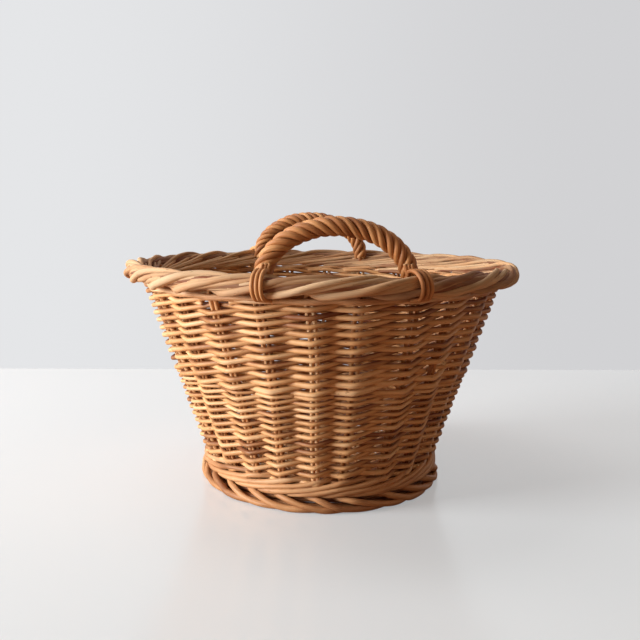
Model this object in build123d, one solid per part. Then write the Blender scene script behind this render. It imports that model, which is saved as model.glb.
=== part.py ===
"""Oval willow basket: roped handles, rolled border, woven wall and foot on a slath base.

+Z is up, +Y runs along the basket from handle to handle, and the origin is on the floor
under the middle of the base.
"""

from build123d import *
import os
from math import atan2, cos, hypot, pi, radians, sin, sqrt, tan

# Driving dimensions, in millimetres. Ovals are half sizes, measured to the stakes' middle.
base_half_width = 103.0
base_half_length = 128.0
rim_half_width = 170.0
rim_half_length = 186.5
clearance = 0.3
end_gap = 0.6

# Upright rods, a stake and a thinner bye-stake at each place, none at the two ends
stake_count = 24
stake_diameter = 3.8
bye_stake_diameter = 3.2
stake_pair_gap = 1.5
stake_foot_height = 2.5
stake_tip_rise = 3.5

# Wall: plain courses of two rods between an upsett wale and a top wale
course_count = 18
rods_per_course = 2
weaver_pitch = 4.22
weaver_thickness = 3.4
ends_step_between_rods = 7
kick_rod_end_stake = 5
last_wale_end_stake = 22
wale_height = 5.2
wale_thickness = 4.2

# Foot: a three-strand rope ring
foot_strand_count = 3
foot_strand_diameter = 5.4
foot_lay_radius = 3.85
foot_turns = 8
foot_steps_per_turn = 7

# Border: a four-strand rope ring with a back rod tucked in below it and one above
border_strand_count = 4
border_strand_diameter = 7.2
border_lay_radius = 6.0
border_turns = 6
border_steps_per_turn = 9
back_rod_diameter = 3.4

# Base: long sticks threaded through split cross sticks, opened out and woven
long_stick_count = 4
cross_stick_count = 6
base_stick_diameter = 4.0
cross_stick_spacing = 11.0
eye_height = 9.2
eye_wall = 2.2
eye_taper = 7.0
base_weaver_width = 8.4
base_weaver_thickness = 2.3
base_round_count = 5
inner_round_share = 0.48
tying_round_reach = 5.0
tying_round_spread = 5.0
long_stick_fan_start = 10.0

# Handles: a bow with four rods roped round it, lashed over the border
bow_diameter = 6.0
handle_spring_rise = 3.0
handle_arch_rise = 43.2
bow_steps = 12
rope_rod_count = 4
rope_rod_diameter = 4.4
rope_turns = 4
rope_steps_per_turn = 6
rope_start_angle = 14.0
lashing_diameter = 4.0
lashing_corner_angles = (-112.5, -67.5, -22.5, 22.5, 67.5, 112.5)

# Worked-out sizes
foot_rope_radius = foot_lay_radius + foot_strand_diameter / 2
border_rope_radius = border_lay_radius + border_strand_diameter / 2
foot_top = 2 * foot_rope_radius
kick_height = foot_top + clearance + wale_height / 2
wale_pitch = wale_height + clearance
upsett_heights = [kick_height + wale_pitch, kick_height + 2 * wale_pitch]
siding_bottom = upsett_heights[-1] + wale_height / 2 + clearance
siding_top = siding_bottom + course_count * rods_per_course * weaver_pitch
top_wale_heights = [siding_top + wale_height / 2, siding_top + wale_height / 2 + wale_pitch]
wall_top = top_wale_heights[-1] + wale_height / 2
border_height = wall_top + border_rope_radius
wall_run = max(rim_half_width - base_half_width, rim_half_length - base_half_length)
wall_lean = atan2(wall_run, border_height - foot_top)
pair_spacing = (stake_diameter + bye_stake_diameter) / 2 + stake_pair_gap
stake_shift = -pair_spacing / 2
bye_stake_shift = pair_spacing / 2
weaver_height = (weaver_pitch - clearance) / cos(wall_lean)
weaver_depth_below = (weaver_thickness * sin(wall_lean) + weaver_height * cos(wall_lean)) / 2
border_offset = (stake_diameter / 2 + border_rope_radius) / cos(wall_lean) + 3 * clearance
back_rod_rise = border_rope_radius - clearance - back_rod_diameter / 2
back_rod_reach = border_rope_radius + clearance + back_rod_diameter / 2
back_rod_offset = border_offset - sqrt(back_rod_reach**2 - back_rod_rise**2)
foot_offset = stake_diameter / 2 / cos(wall_lean) + clearance + foot_rope_radius
SEAM_SHARE = 0.15
SWING_PASSES = 20
UP = Vector(0, 0, 1)

# Outlines of the rods' sections, for a half width and a half height of one
DIAMOND = ((1, 0), (0, 1), (-1, 0), (0, -1))
HEXAGON = tuple((cos(pi * corner / 3), sin(pi * corner / 3)) for corner in range(6))
WEDGE = ((1, 1), (-1, 0), (1, -1))


def wall_half_axes(height):
    """Half width and half length of the stakes' oval at a height."""
    share = (height - foot_top) / (border_height - foot_top)
    half_width = base_half_width + share * (rim_half_width - base_half_width)
    half_length = base_half_length + share * (rim_half_length - base_half_length)
    return half_width, half_length


def wall_normal(angle, height):
    """Level direction straight out of the wall."""
    half_width, half_length = wall_half_axes(height)
    return Vector(cos(angle) / half_width, sin(angle) / half_length, 0).normalized()


def wall_point(angle, height, outward=0.0, along=0.0):
    """Point of the wall, moved out along its normal and along the rim."""
    half_width, half_length = wall_half_axes(height)
    normal = wall_normal(angle, height)
    on_oval = Vector(half_width * cos(angle), half_length * sin(angle), height)
    return on_oval + normal * outward + UP.cross(normal) * along


def angle_along(angle, height, distance):
    """Angle of the point that lies a distance further round the wall."""
    half_width, half_length = wall_half_axes(height)
    return angle + distance / hypot(half_width * sin(angle), half_length * cos(angle))


def stake_angle(number):
    """Angle of a stake on the oval; the two ends lie half-way between stakes."""
    return 2 * pi * (number + 0.5) / stake_count


def leaning_normal(angle, height):
    """Direction straight out of the leaning wall, outwards and a little down."""
    return wall_normal(angle, height) * cos(wall_lean) - UP * sin(wall_lean)


def rod(points, across, width, height, outline=DIAMOND):
    """Rod in straight runs through the points, with its width lying across."""
    run = (points[1] - points[0]).normalized()
    level = (across - run * across.dot(run)).normalized()
    corners = [(width / 2 * x, height / 2 * y) for x, y in outline]
    section = Plane(origin=points[0], x_dir=level, z_dir=run) * Polygon(*corners, align=None)
    return sweep(section, path=Polyline(*points), transition=Transition.RIGHT)


def ring_rod(points, first, across, width, height, outline=DIAMOND):
    """Rod that goes once round through the points; its two ends meet after the first."""
    turned = points[first:] + points[:first]
    span = turned[1] - turned[0]
    seam = turned[0] + span * SEAM_SHARE
    tail = seam - span.normalized() * end_gap
    return rod([seam] + turned[1:] + [turned[0], tail], across, width, height, outline)


def weave_swing(thickness, level, slants=True):
    """Distance from the stakes' middle at which a rod clears a stake and its bye-stake."""
    reach = (stake_diameter + thickness) / 2 / cos(wall_lean) + clearance
    span = 2 * wall_half_axes(level)[0] * sin(pi / stake_count)
    swing = reach
    for _ in range(SWING_PASSES):
        slant = atan2(2 * swing, span) if slants else pi / stake_count
        swing = reach / cos(slant) + pair_spacing / 2 * tan(slant)
    return swing


def woven_ring(level, outside, first, thickness, height, outline=DIAMOND, slants=True):
    """Level rod woven round the stakes; outside says where it passes in front."""
    swing = weave_swing(thickness, level, slants)
    points = [
        wall_point(stake_angle(stake), level, swing if outside(stake) else -swing)
        for stake in range(stake_count)
    ]
    across = leaning_normal(stake_angle(first), level)
    return ring_rod(points, first, across, thickness, height, outline)


def siding_rod(number):
    """Rod in front of one stake and behind the next, its ends hidden behind a stake."""
    level = siding_bottom + weaver_depth_below + number * weaver_pitch
    first = ends_step_between_rods * number % stake_count
    return woven_ring(
        level, lambda stake: (stake + number) % 2 == 1, first,
        weaver_thickness, weaver_height, WEDGE,
    )


def siding_course(number):
    """Course of rods one above the other, each crossing the one below it."""
    first = number * rods_per_course
    return [siding_rod(first + place) for place in range(rods_per_course)]


def wale_rod(level, shift):
    """Wale rod in front of two stakes and behind two; shift moves the pattern round."""
    return woven_ring(
        level, lambda stake: (stake + shift) % 4 < 2, last_wale_end_stake - shift,
        wale_thickness, wale_height,
    )


def upright(stake, shift, diameter, bottom, top):
    """Straight upright rod beside its stake's place, leaning out with the wall."""
    angle = stake_angle(stake)
    ends = [wall_point(angle, level, 0.0, shift) for level in (bottom, top)]
    return rod(ends, wall_normal(angle, bottom), diameter, diameter)


def stakes():
    """Stakes from inside the foot to inside the border."""
    top = border_height + stake_tip_rise
    return [
        upright(stake, stake_shift, stake_diameter, stake_foot_height, top)
        for stake in range(stake_count)
    ]


def bye_stakes():
    """Thinner uprights beside the stakes, over the height of the wall."""
    bottom = upsett_heights[0] - wale_height / 2
    top = wall_top - bye_stake_diameter / 2
    return [
        upright(stake, bye_stake_shift, bye_stake_diameter, bottom, top)
        for stake in range(stake_count)
    ]


def rope_ring_strand(strand, count, level, offset, lay_radius, diameter, turns, steps, start):
    """One strand of a rope that follows the wall's oval, outside the stakes."""
    points = []
    for step in range(turns * steps):
        angle = 2 * pi * step / (turns * steps)
        lay = start + 2 * pi * (step / steps + strand / count)
        place = wall_point(angle, level, offset + lay_radius * cos(lay))
        points.append(place + UP * lay_radius * sin(lay))
    return ring_rod(points, 0, UP, diameter, diameter)


def foot_strands():
    """Foot rope, set down so that its lowest corners stand on the floor."""
    strands = [
        rope_ring_strand(
            strand, foot_strand_count, foot_rope_radius, foot_offset, foot_lay_radius,
            foot_strand_diameter, foot_turns, foot_steps_per_turn, -pi / 2,
        )
        for strand in range(foot_strand_count)
    ]
    lowest = min(strand.bounding_box().min.Z for strand in strands)
    return [Pos(0, 0, -lowest) * strand for strand in strands]


def border_strand(strand):
    """Strand of the border rope, rising outside towards increasing angle."""
    return rope_ring_strand(
        strand, border_strand_count, border_height, border_offset, border_lay_radius,
        border_strand_diameter, border_turns, border_steps_per_turn, 0.0,
    )


def back_rod(rise):
    """Rod laid round between the border rope and the stakes, at a rise from the rope."""
    points = [
        wall_point(stake_angle(stake), border_height, back_rod_offset) + UP * rise
        for stake in range(stake_count)
    ]
    return ring_rod(points, 0, Vector(1, 0, 0), back_rod_diameter, back_rod_diameter)


# Base. Sticks lie in one level plane; spokes fan from the slath to gaps between stakes.
long_stick_pitch = base_stick_diameter + 2 * clearance
slath_half_width = long_stick_count * long_stick_pitch / 2
slath_half_length = cross_stick_count * cross_stick_spacing / 2
eye_half_length = slath_half_width + eye_wall
cross_spoke_gaps = (1, 2, 3)
long_spoke_gaps = (5, 4)


def slath_spokes():
    """Spokes of one quarter as pairs of points, from the slath out to the stakes."""
    starts = [
        (eye_half_length + eye_taper, (number + 0.5) * cross_stick_spacing)
        for number in range(len(cross_spoke_gaps))
    ]
    starts += [
        ((number + 0.5) * long_stick_pitch, slath_half_length + long_stick_fan_start)
        for number in range(len(long_spoke_gaps))
    ]
    angles = [2 * pi * gap / stake_count for gap in cross_spoke_gaps + long_spoke_gaps]
    return [
        (start, (base_half_width * cos(angle), base_half_length * sin(angle)))
        for start, angle in zip(starts, angles)
    ]


def all_spokes():
    """Spokes of the whole base in order of angle."""
    spokes = [
        tuple((x * side_x, y * side_y) for x, y in spoke)
        for side_x in (1, -1)
        for side_y in (1, -1)
        for spoke in slath_spokes()
    ]
    return sorted(spokes, key=lambda spoke: atan2(spoke[1][1], spoke[1][0]))


def round_points(share):
    """Level points where a round of weaving crosses each spoke."""
    return [
        Vector(start[0] + share * (end[0] - start[0]), start[1] + share * (end[1] - start[1]), 0)
        for start, end in all_spokes()
    ]


def base_swing(share):
    """Rise of a round over a stick, and its half depth, from the shortest run off a spoke."""
    points = round_points(share)
    spokes = all_spokes()
    before, after = points[-1:] + points[:-1], points[1:] + points[:1]
    span = min(
        min(distance_to_spoke(last, spoke), distance_to_spoke(following, spoke))
        for last, spoke, following in zip(before, spokes, after)
    )
    reach = base_stick_diameter / 2 + 3 * clearance + base_weaver_thickness / 2
    swing = reach
    for _ in range(SWING_PASSES):
        slant = atan2(2 * swing, span)
        swing = reach / cos(slant)
    return swing, swing + base_weaver_thickness / 2 / cos(slant)


def distance_to_spoke(point, spoke):
    """Level distance of a point from the line of a spoke."""
    start, end = spoke
    run = Vector(end[0] - start[0], end[1] - start[1], 0).normalized()
    return run.cross(point - Vector(start[0], start[1], 0)).length


def outer_round_share():
    """Share of the spokes at which the last round lies against the stakes."""
    inset = stake_diameter / 2 / cos(wall_lean) + 2 * clearance + base_weaver_width / 2
    shortest = min(hypot(end[0] - start[0], end[1] - start[1]) for start, end in all_spokes())
    return 1 - inset / shortest


base_half_depth = base_swing(inner_round_share)[1]
base_height = upsett_heights[0] - wale_height / 2 - clearance - base_half_depth


def base_round(number):
    """Round of base weaving, over one spoke and under the next."""
    step = (outer_round_share() - inner_round_share) / (base_round_count - 1)
    share = inner_round_share + number * step
    swing = base_swing(share)[0]
    points = [
        point + UP * (base_height + (swing if (index + number) % 2 else -swing))
        for index, point in enumerate(round_points(share))
    ]
    first = number % 2
    return ring_rod(points, first, points[first] - UP * points[first].Z,
                    base_weaver_width, base_weaver_thickness)


def tying_round(number):
    """Round that ties the slath, over one bundle of sticks and under the other."""
    swing = base_stick_diameter / 2 + clearance + base_weaver_thickness / 2
    out = tying_round_reach + number * (base_weaver_thickness + clearance)
    side = swing if number else -swing
    half_width = eye_half_length + out
    half_length = slath_half_length + out
    spread = slath_half_width + tying_round_spread
    corners = [
        (half_width, -slath_half_length, side), (half_width, slath_half_length, side),
        (spread, half_length, -side), (-spread, half_length, -side),
        (-half_width, slath_half_length, side), (-half_width, -slath_half_length, side),
        (-spread, -half_length, -side), (spread, -half_length, -side),
    ]
    points = [Vector(x, y, base_height + z) for x, y, z in corners]
    return ring_rod(points, 0, Vector(1, 0, 0), base_weaver_thickness, base_weaver_thickness)


def long_stick(number):
    """Long stick through the eyes, opened out at both ends."""
    place = number - (long_stick_count - 1) / 2
    start, end = slath_spokes()[len(cross_spoke_gaps) + int(abs(place))]
    side = 1 if place > 0 else -1
    points = [
        Vector(side * end[0], -end[1], base_height), Vector(side * start[0], -start[1], base_height),
        Vector(side * start[0], start[1], base_height), Vector(side * end[0], end[1], base_height),
    ]
    return rod(points, Vector(1, 0, 0), base_stick_diameter, base_stick_diameter)


def cross_stick(number):
    """Cross stick, split in the middle so that the long sticks pass through its eye."""
    place = number - (cross_stick_count - 1) / 2
    start, end = slath_spokes()[int(abs(place))]
    side = 1 if place > 0 else -1
    points = [
        Vector(-end[0], side * end[1], base_height), Vector(-start[0], side * start[1], base_height),
        Vector(start[0], side * start[1], base_height), Vector(end[0], side * end[1], base_height),
    ]
    stick = rod(points, Vector(0, 1, 0), base_stick_diameter, base_stick_diameter)
    tip = eye_half_length + eye_taper
    profile = Polygon(
        (-tip, 0), (-eye_half_length, -eye_height / 2), (eye_half_length, -eye_height / 2),
        (tip, 0), (eye_half_length, eye_height / 2), (-eye_half_length, eye_height / 2), align=None,
    )
    upright_plane = Plane(origin=(0, side * start[1], base_height), x_dir=(1, 0, 0), z_dir=(0, 1, 0))
    eye = extrude(upright_plane * profile, base_stick_diameter / 2, both=True)
    slot = Pos(0, side * start[1], base_height) * Box(
        2 * slath_half_width + clearance, 2 * base_stick_diameter, base_stick_diameter + 2 * clearance
    )
    return stick + eye - slot


# Handles, made for the end at -Y and turned half round for the other end. Each leg stands
# against a stake, on the side that faces the middle of the end.
right_stake = 3 * stake_count // 4 + 1
left_stake = 3 * stake_count // 4 - 2
leg_reach = stake_diameter / 2 + clearance + bow_diameter / 2
left_leg_shift = stake_shift + leg_reach
right_leg_shift = stake_shift - leg_reach
chord_sag = rim_half_length * (1 - cos(pi / stake_count))
inner_face = back_rod_offset - back_rod_diameter / 2 - clearance - chord_sag
rope_lay_radius = (bow_diameter / 2 + clearance + rope_rod_diameter / 2) / cos(pi / rope_steps_per_turn)
lashing_spacing = rope_lay_radius + (rope_rod_diameter + lashing_diameter) / 2 + clearance
spring_height = border_height + handle_spring_rise


def leg_place(stake, shift):
    """Level place of a leg beside its stake, between the border and the stakes' inside."""
    angle = angle_along(stake_angle(stake), border_height, shift)
    return wall_point(angle, border_height, inner_face - bow_diameter / 2)


left_leg = leg_place(left_stake, left_leg_shift)
right_leg = leg_place(right_stake, right_leg_shift)
arch_half_span = (right_leg - left_leg) * 0.5
arch_across = UP.cross(arch_half_span).normalized()


def arch_point(turn):
    """Middle of the bow at an angle of its arch, from the left foot over to the right."""
    level = (left_leg + right_leg) * 0.5 - arch_half_span * cos(turn)
    return level + UP * (spring_height - border_height + handle_arch_rise * sin(turn))


def arch_outward(turn):
    """Direction straight out of the arch, square to its run."""
    level = arch_half_span.normalized() * -handle_arch_rise * cos(turn)
    return (level + UP * arch_half_span.length * sin(turn)).normalized()


def bow():
    """Bow of the handle, its two legs pushed down beside the stakes inside the border."""
    drop = UP * (wall_top + clearance - border_height)
    arch = [arch_point(pi * step / bow_steps) for step in range(bow_steps + 1)]
    points = [left_leg + drop] + arch + [right_leg + drop]
    return rod(points, arch_across, bow_diameter, bow_diameter, HEXAGON)


def rope_rod(number):
    """Rod roped round the bow between the two lashings."""
    start = radians(rope_start_angle)
    steps = rope_turns * rope_steps_per_turn
    points = []
    for step in range(steps + 1):
        turn = start + (pi - 2 * start) * step / steps
        lay = 2 * pi * (step / rope_steps_per_turn + number / rope_rod_count)
        lift = arch_outward(turn) * cos(lay) + arch_across * sin(lay)
        points.append(arch_point(turn) + lift * rope_lay_radius)
    return rod(points, arch_across, rope_rod_diameter, rope_rod_diameter)


def lashing(angle):
    """Rod hooked over the border, its ends tucked in under the rope and inside the stakes."""
    normal = wall_normal(angle, border_height)
    centre = wall_point(angle, border_height, border_offset)
    turns = [radians(corner) for corner in lashing_corner_angles]
    half_step = (turns[1] - turns[0]) / 2
    hug = (border_rope_radius + clearance + lashing_diameter / 2) / cos(half_step)
    profile = [(hug * cos(turn), hug * sin(turn)) for turn in turns]
    inner = inner_face - lashing_diameter / 2 - border_offset
    profile += [
        (inner + clearance, profile[-1][1]),
        (inner - clearance, clearance + lashing_diameter - border_rope_radius),
    ]
    points = [centre + normal * out + UP * up for out, up in profile]
    return rod(points, UP.cross(normal), lashing_diameter, lashing_diameter)


def lashings(stake, leg_shift):
    """Two lashings, one on each side of a leg and of the rope that starts there."""
    return [
        lashing(angle_along(stake_angle(stake), border_height, leg_shift + side * lashing_spacing))
        for side in (-1, 1)
    ]


def save(name, pieces):
    """Writes one node; pieces is a list of its separate solids."""
    solids = [solid for piece in pieces for solid in piece.solids()]
    export_step(Compound(solids), f"parts/{name}.step")


def main():
    """Builds every node and writes it to the parts folder."""
    os.makedirs("parts", exist_ok=True)
    for number, strand in enumerate(foot_strands(), 1):
        save(f"foot_strand_{number}", [strand])
    for number in range(long_stick_count):
        save(f"base_long_stick_{number + 1}", [long_stick(number)])
    for number in range(cross_stick_count):
        save(f"base_cross_stick_{number + 1}", [cross_stick(number)])
    save("base_tying_rounds", [tying_round(number) for number in range(2)])
    save("base_weaving", [base_round(number) for number in range(base_round_count)])
    save("stakes", stakes())
    save("bye_stakes", bye_stakes())
    save("upsett_kick_rod", [woven_ring(
        kick_height, lambda stake: True, kick_rod_end_stake, wale_thickness, wale_height,
        slants=False,
    )])
    for number, level in enumerate(upsett_heights):
        save(f"upsett_wale_rod_{number + 1}", [wale_rod(level, 2 * number)])
    for number in range(course_count):
        save(f"siding_course_{number + 1:02d}", siding_course(number))
    for number, level in enumerate(top_wale_heights):
        save(f"top_wale_rod_{number + 1}", [wale_rod(level, 2 * number + 1)])
    save("border_back_rod_lower", [back_rod(-back_rod_rise)])
    save("border_back_rod_upper", [back_rod(back_rod_rise)])
    for strand in range(border_strand_count):
        save(f"border_strand_{strand + 1}", [border_strand(strand)])
    for end, turn in (("near", 0), ("far", 180)):
        place = Rot(0, 0, turn)
        save(f"{end}_handle_bow", [place * bow()])
        save(f"{end}_handle_rope", [place * rope_rod(rod_) for rod_ in range(rope_rod_count)])
        left = [place * piece for piece in lashings(left_stake, left_leg_shift)]
        save(f"{end}_handle_left_lashing", left)
        right = [place * piece for piece in lashings(right_stake, right_leg_shift)]
        save(f"{end}_handle_right_lashing", right)


main()
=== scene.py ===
"""Oval willow basket with two roped handles, woven rod by rod round the shared frame.

Lengths are in metres. The basket stands on the floor with its long axis along Y, and the end
that carries the near handle is at -Y. Places round the wall are counted in stakes, and the axes
lie halfway between two: +X at -0.5, +Y at 5.5, -X at 11.5 and -Y at 17.5.
"""

import logging
import math
from abc import ABC, abstractmethod
from dataclasses import dataclass, field
from enum import Enum
from typing import ClassVar

import bpy
import numpy as np
from mathutils import Matrix, Vector


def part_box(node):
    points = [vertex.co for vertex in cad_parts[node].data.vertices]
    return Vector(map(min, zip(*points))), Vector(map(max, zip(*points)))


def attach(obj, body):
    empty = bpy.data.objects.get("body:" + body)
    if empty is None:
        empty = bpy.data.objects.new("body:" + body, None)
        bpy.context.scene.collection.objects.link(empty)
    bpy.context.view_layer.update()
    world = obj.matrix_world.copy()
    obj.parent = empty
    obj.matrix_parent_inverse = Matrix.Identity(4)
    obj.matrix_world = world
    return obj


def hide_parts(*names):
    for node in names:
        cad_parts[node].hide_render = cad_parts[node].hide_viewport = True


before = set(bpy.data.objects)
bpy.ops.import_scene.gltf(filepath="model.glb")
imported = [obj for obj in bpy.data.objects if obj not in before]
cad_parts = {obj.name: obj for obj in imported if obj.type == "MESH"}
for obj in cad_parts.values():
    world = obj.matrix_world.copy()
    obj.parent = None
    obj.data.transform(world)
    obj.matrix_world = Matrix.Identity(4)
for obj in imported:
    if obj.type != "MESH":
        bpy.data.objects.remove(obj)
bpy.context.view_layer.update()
LOG = logging.getLogger("basket")
UP = np.array([0.0, 0.0, 1.0])
FULL_TURN = 2 * math.pi
FLOOR_MARGIN = 1.03  # least height of a rod's middle over the floor, in its radius
HIDDEN_ROD_SHADE = -0.7  # painted shade: darkening of rods that others hide
COLOUR = tuple[float, float, float]


class End(Enum):
    """End of the basket that carries a handle."""

    NEAR = "near"
    FAR = "far"


class RodEnd(Enum):
    """How the end of a rod is finished: how far its last ring stands out and its size, in radii."""

    CUT = (0.15, 0.88)
    TIP = (1.0, 0.45)

    @property
    def reach(self) -> float:
        """How far the last ring stands out from the rod's end."""
        return self.value[0]

    @property
    def width(self) -> float:
        """Radius of the last ring."""
        return self.value[1]


# --- Rods ---------------------------------------------------------------------------------


def unit(vectors: np.ndarray) -> np.ndarray:
    """Vectors scaled to length one, row by row."""
    return vectors / np.linalg.norm(vectors, axis=-1, keepdims=True)


def drift(rng: np.random.Generator, distance: np.ndarray, wave: float, size: float) -> np.ndarray:
    """Slow, smooth wander of a rod about its line.

    Args:
        rng: Source of the phases.
        distance: Places along the rod.
        wave: Length of the slower wave, in the unit of distance.
        size: Largest wander.

    Returns:
        The wander at each place.
    """
    slow, quick = rng.uniform(0, FULL_TURN, 2)
    turns = FULL_TURN * distance / wave
    part, pace = 0.35, 2.3  # share and pace of the quicker wave
    return size * ((1 - part) * np.sin(turns + slow) + part * np.sin(pace * turns + quick))


def smooth_line(points: np.ndarray, steps: int) -> np.ndarray:
    """Catmull-Rom curve through a few points.

    Args:
        points: Places that the curve passes through.
        steps: Pieces that each span is divided into.

    Returns:
        Points along the curve, ends included.
    """
    points = np.asarray(points, float)
    padded = np.vstack([2 * points[0] - points[1], points, 2 * points[-1] - points[-2]])
    share = np.linspace(0, 1, steps, endpoint=False)[:, None]
    spans = []
    for a, b, c, d in zip(padded, padded[1:], padded[2:], padded[3:]):
        bend = 2 * a - 5 * b + 4 * c - d + share * (3 * (b - c) + d - a)
        spans.append(b + 0.5 * share * (c - a + share * bend))
    return np.vstack([*spans, points[-1:]])


@dataclass
class RodBundle:
    """Willow rods that are gathered and become one mesh.

    Attributes:
        sides: Number of facets round each rod.
        seed: Seed of the grain and tone of its rods.
        tone_spread: How far the rods differ in tone.
        crevice_shade: Painted shade: how much darker a rod is where its neighbours lie against it.
        points: Vertices of each rod.
        faces: Their faces with four sides.
        caps: Their faces with three sides, at the ends.
        grain: Distance along the rod and two across it at each vertex, moved on from rod to rod.
        tone: Tone of each vertex, from 0 dark to 1 pale.
        cut: How far each vertex shows the wood of a cut end, from 0 to 1.
        count: Number of vertices so far.
    """

    HUB_REACH: ClassVar[float] = 1.15  # how far the middle of an end stands out, in its ring's reach
    SWELL_LENGTH: ClassVar[float] = 0.037
    SWELL: ClassVar[float] = 0.035  # most that the radius of a rod varies along it, as a share
    CUT_VALUE: ClassVar[float] = 0.8  # how far the rim of a cut end shows its wood

    sides: int
    seed: int
    tone_spread: float = 0.5
    crevice_shade: float = 0.0
    points: list[np.ndarray] = field(default_factory=list)
    faces: list[np.ndarray] = field(default_factory=list)
    caps: list[np.ndarray] = field(default_factory=list)
    grain: list[np.ndarray] = field(default_factory=list)
    tone: list[np.ndarray] = field(default_factory=list)
    cut: list[np.ndarray] = field(default_factory=list)
    count: int = 0

    def __post_init__(self) -> None:
        """Starts the bundle's own random draws."""
        self.rng = np.random.default_rng(self.seed)

    def add(
        self,
        line: np.ndarray,
        radius: np.ndarray | float,
        facing: np.ndarray,
        first: RodEnd = RodEnd.CUT,
        last: RodEnd = RodEnd.TIP,
        tone: np.ndarray | float = 0.0,
    ) -> None:
        """Adds a rod.

        Args:
            line: Points along the middle of the rod.
            radius: Radius at each point, or one for all.
            facing: Direction across the rod, at each point or one for all.
            first: Finish of the end at the first point.
            last: Finish of the end at the last point.
            tone: Shift of tone at each point, or one for all, from -1 dark to 1 pale.
        """
        line = np.asarray(line, float)
        radius = np.broadcast_to(np.asarray(radius, float), len(line)).copy()
        along = unit(np.gradient(line, axis=0))
        step = np.linalg.norm(np.diff(line, axis=0), axis=1)
        distance = np.concatenate([[0.0], np.cumsum(step)])
        radius *= 1 + drift(self.rng, distance, self.SWELL_LENGTH, self.SWELL)
        across = unit(np.cross(along, np.broadcast_to(facing, line.shape)))
        over = np.cross(across, along)
        outward = np.stack([-along[0], along[-1]]) * radius[[0, -1], None]
        outward *= np.array([[first.reach], [last.reach]])
        caps = line[[0, -1]] + outward
        middles = np.vstack([caps[:1], line, caps[1:]])
        radii = np.concatenate([[radius[0] * first.width], radius, [radius[-1] * last.width]])
        across = np.vstack([across[:1], across, across[-1:]])
        over = np.vstack([over[:1], over, over[-1:]])
        distance = np.concatenate([distance[:1], distance, distance[-1:]])
        tone = np.pad(np.broadcast_to(tone, len(line)), 1, mode="edge")
        turn = FULL_TURN * np.arange(self.sides) / self.sides
        cosine = np.cos(turn)[None, :, None]
        sine = np.sin(turn)[None, :, None]
        spread = cosine * across[:, None] + sine * over[:, None]
        rings = middles[:, None] + radii[:, None, None] * spread
        tips = line[[0, -1]] + outward * self.HUB_REACH
        self._store(rings, tips, distance, radii, first, last, tone)

    def _store(
        self,
        rings: np.ndarray,
        tips: np.ndarray,
        distance: np.ndarray,
        radii: np.ndarray,
        first: RodEnd,
        last: RodEnd,
        tone: np.ndarray,
    ) -> None:
        """Keeps the vertices, faces and surface values of one rod.

        Args:
            rings: Points of each ring round the rod.
            tips: Middles of its two ends.
            distance: Distance along the rod of each ring.
            radii: Radius of each ring.
            first: Finish of the end at the first ring.
            last: Finish of the end at the last ring.
            tone: Shift of tone of each ring.
        """
        count, sides = rings.shape[:2]
        index = self.count + np.arange(count * sides).reshape(count, sides)
        beside = np.roll(index, -1, axis=1)
        quads = np.stack([index[:-1], beside[:-1], beside[1:], index[1:]], axis=-1)
        hubs = self.count + count * sides + np.arange(2)
        opening = np.stack([beside[0], index[0], np.full(sides, hubs[0])], axis=-1)
        closing = np.stack([index[-1], beside[-1], np.full(sides, hubs[1])], axis=-1)
        turn = FULL_TURN * np.arange(sides) / sides
        girth = radii[:, None] * np.stack([np.cos(turn), np.sin(turn)])[:, None, :]
        grain = np.stack([np.repeat(distance[:, None], sides, axis=1), *girth], axis=-1)
        ends = np.array([[distance[0], 0, 0], [distance[-1], 0, 0]])
        cut = np.zeros((count, sides))
        cut[0] = self.CUT_VALUE * (first is RodEnd.CUT)
        cut[-1] = self.CUT_VALUE * (last is RodEnd.CUT)
        hub_cut = [float(first is RodEnd.CUT), float(last is RodEnd.CUT)]
        place = self.rng.uniform(0, 10, 3)
        own_tone = self.rng.uniform(-1, 1) * self.tone_spread
        # Painted shade: the facets where neighbouring rods lie against this one are darkened.
        shade = tone[:, None] + own_tone - self.crevice_shade * np.cos(turn) ** 4
        shade = np.concatenate([shade.ravel(), tone[[0, -1]] + own_tone])
        self.points.append(np.vstack([rings.reshape(-1, 3), tips]))
        self.faces.append(quads.reshape(-1, 4))
        self.caps.append(np.vstack([opening, closing]))
        self.grain.append(np.vstack([grain.reshape(-1, 3), ends]) + place)
        self.tone.append(0.5 + 0.5 * np.clip(shade, -1, 1))
        self.cut.append(np.concatenate([cut.ravel(), hub_cut]))
        self.count += count * sides + 2

    def build(self, name: str) -> bpy.types.Object:
        """Makes the mesh.

        Args:
            name: Name of the piece.

        Returns:
            The new object, linked to the scene.
        """
        mesh = bpy.data.meshes.new(name)
        faces = [*np.vstack(self.faces).tolist(), *np.vstack(self.caps).tolist()]
        mesh.from_pydata(np.vstack(self.points).tolist(), [], faces)
        mesh.polygons.foreach_set("use_smooth", [True] * len(faces))
        grain = mesh.attributes.new("grain", "FLOAT_VECTOR", "POINT")
        grain.data.foreach_set("vector", np.vstack(self.grain).ravel())
        for label, values in (("tone", self.tone), ("cut", self.cut)):
            attribute = mesh.attributes.new(label, "FLOAT", "POINT")
            attribute.data.foreach_set("value", np.concatenate(values))
        mesh.update()
        piece = bpy.data.objects.new(name, mesh)
        bpy.context.scene.collection.objects.link(piece)
        return piece


def fit_piece(
    piece: bpy.types.Object, finish: bpy.types.Material, nodes: list[str]
) -> None:
    """Gives a piece its finish and ties it to the frame.

    Args:
        piece: The piece.
        finish: Its material.
        nodes: Nodes of the frame that it stands for.
    """
    piece.data.materials.append(finish)
    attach(piece, "root")
    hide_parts(*nodes)
    LOG.info("%s: %d faces, stands for %s", piece.name, len(piece.data.polygons), ", ".join(nodes))


# --- Finishes -----------------------------------------------------------------------------


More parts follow.
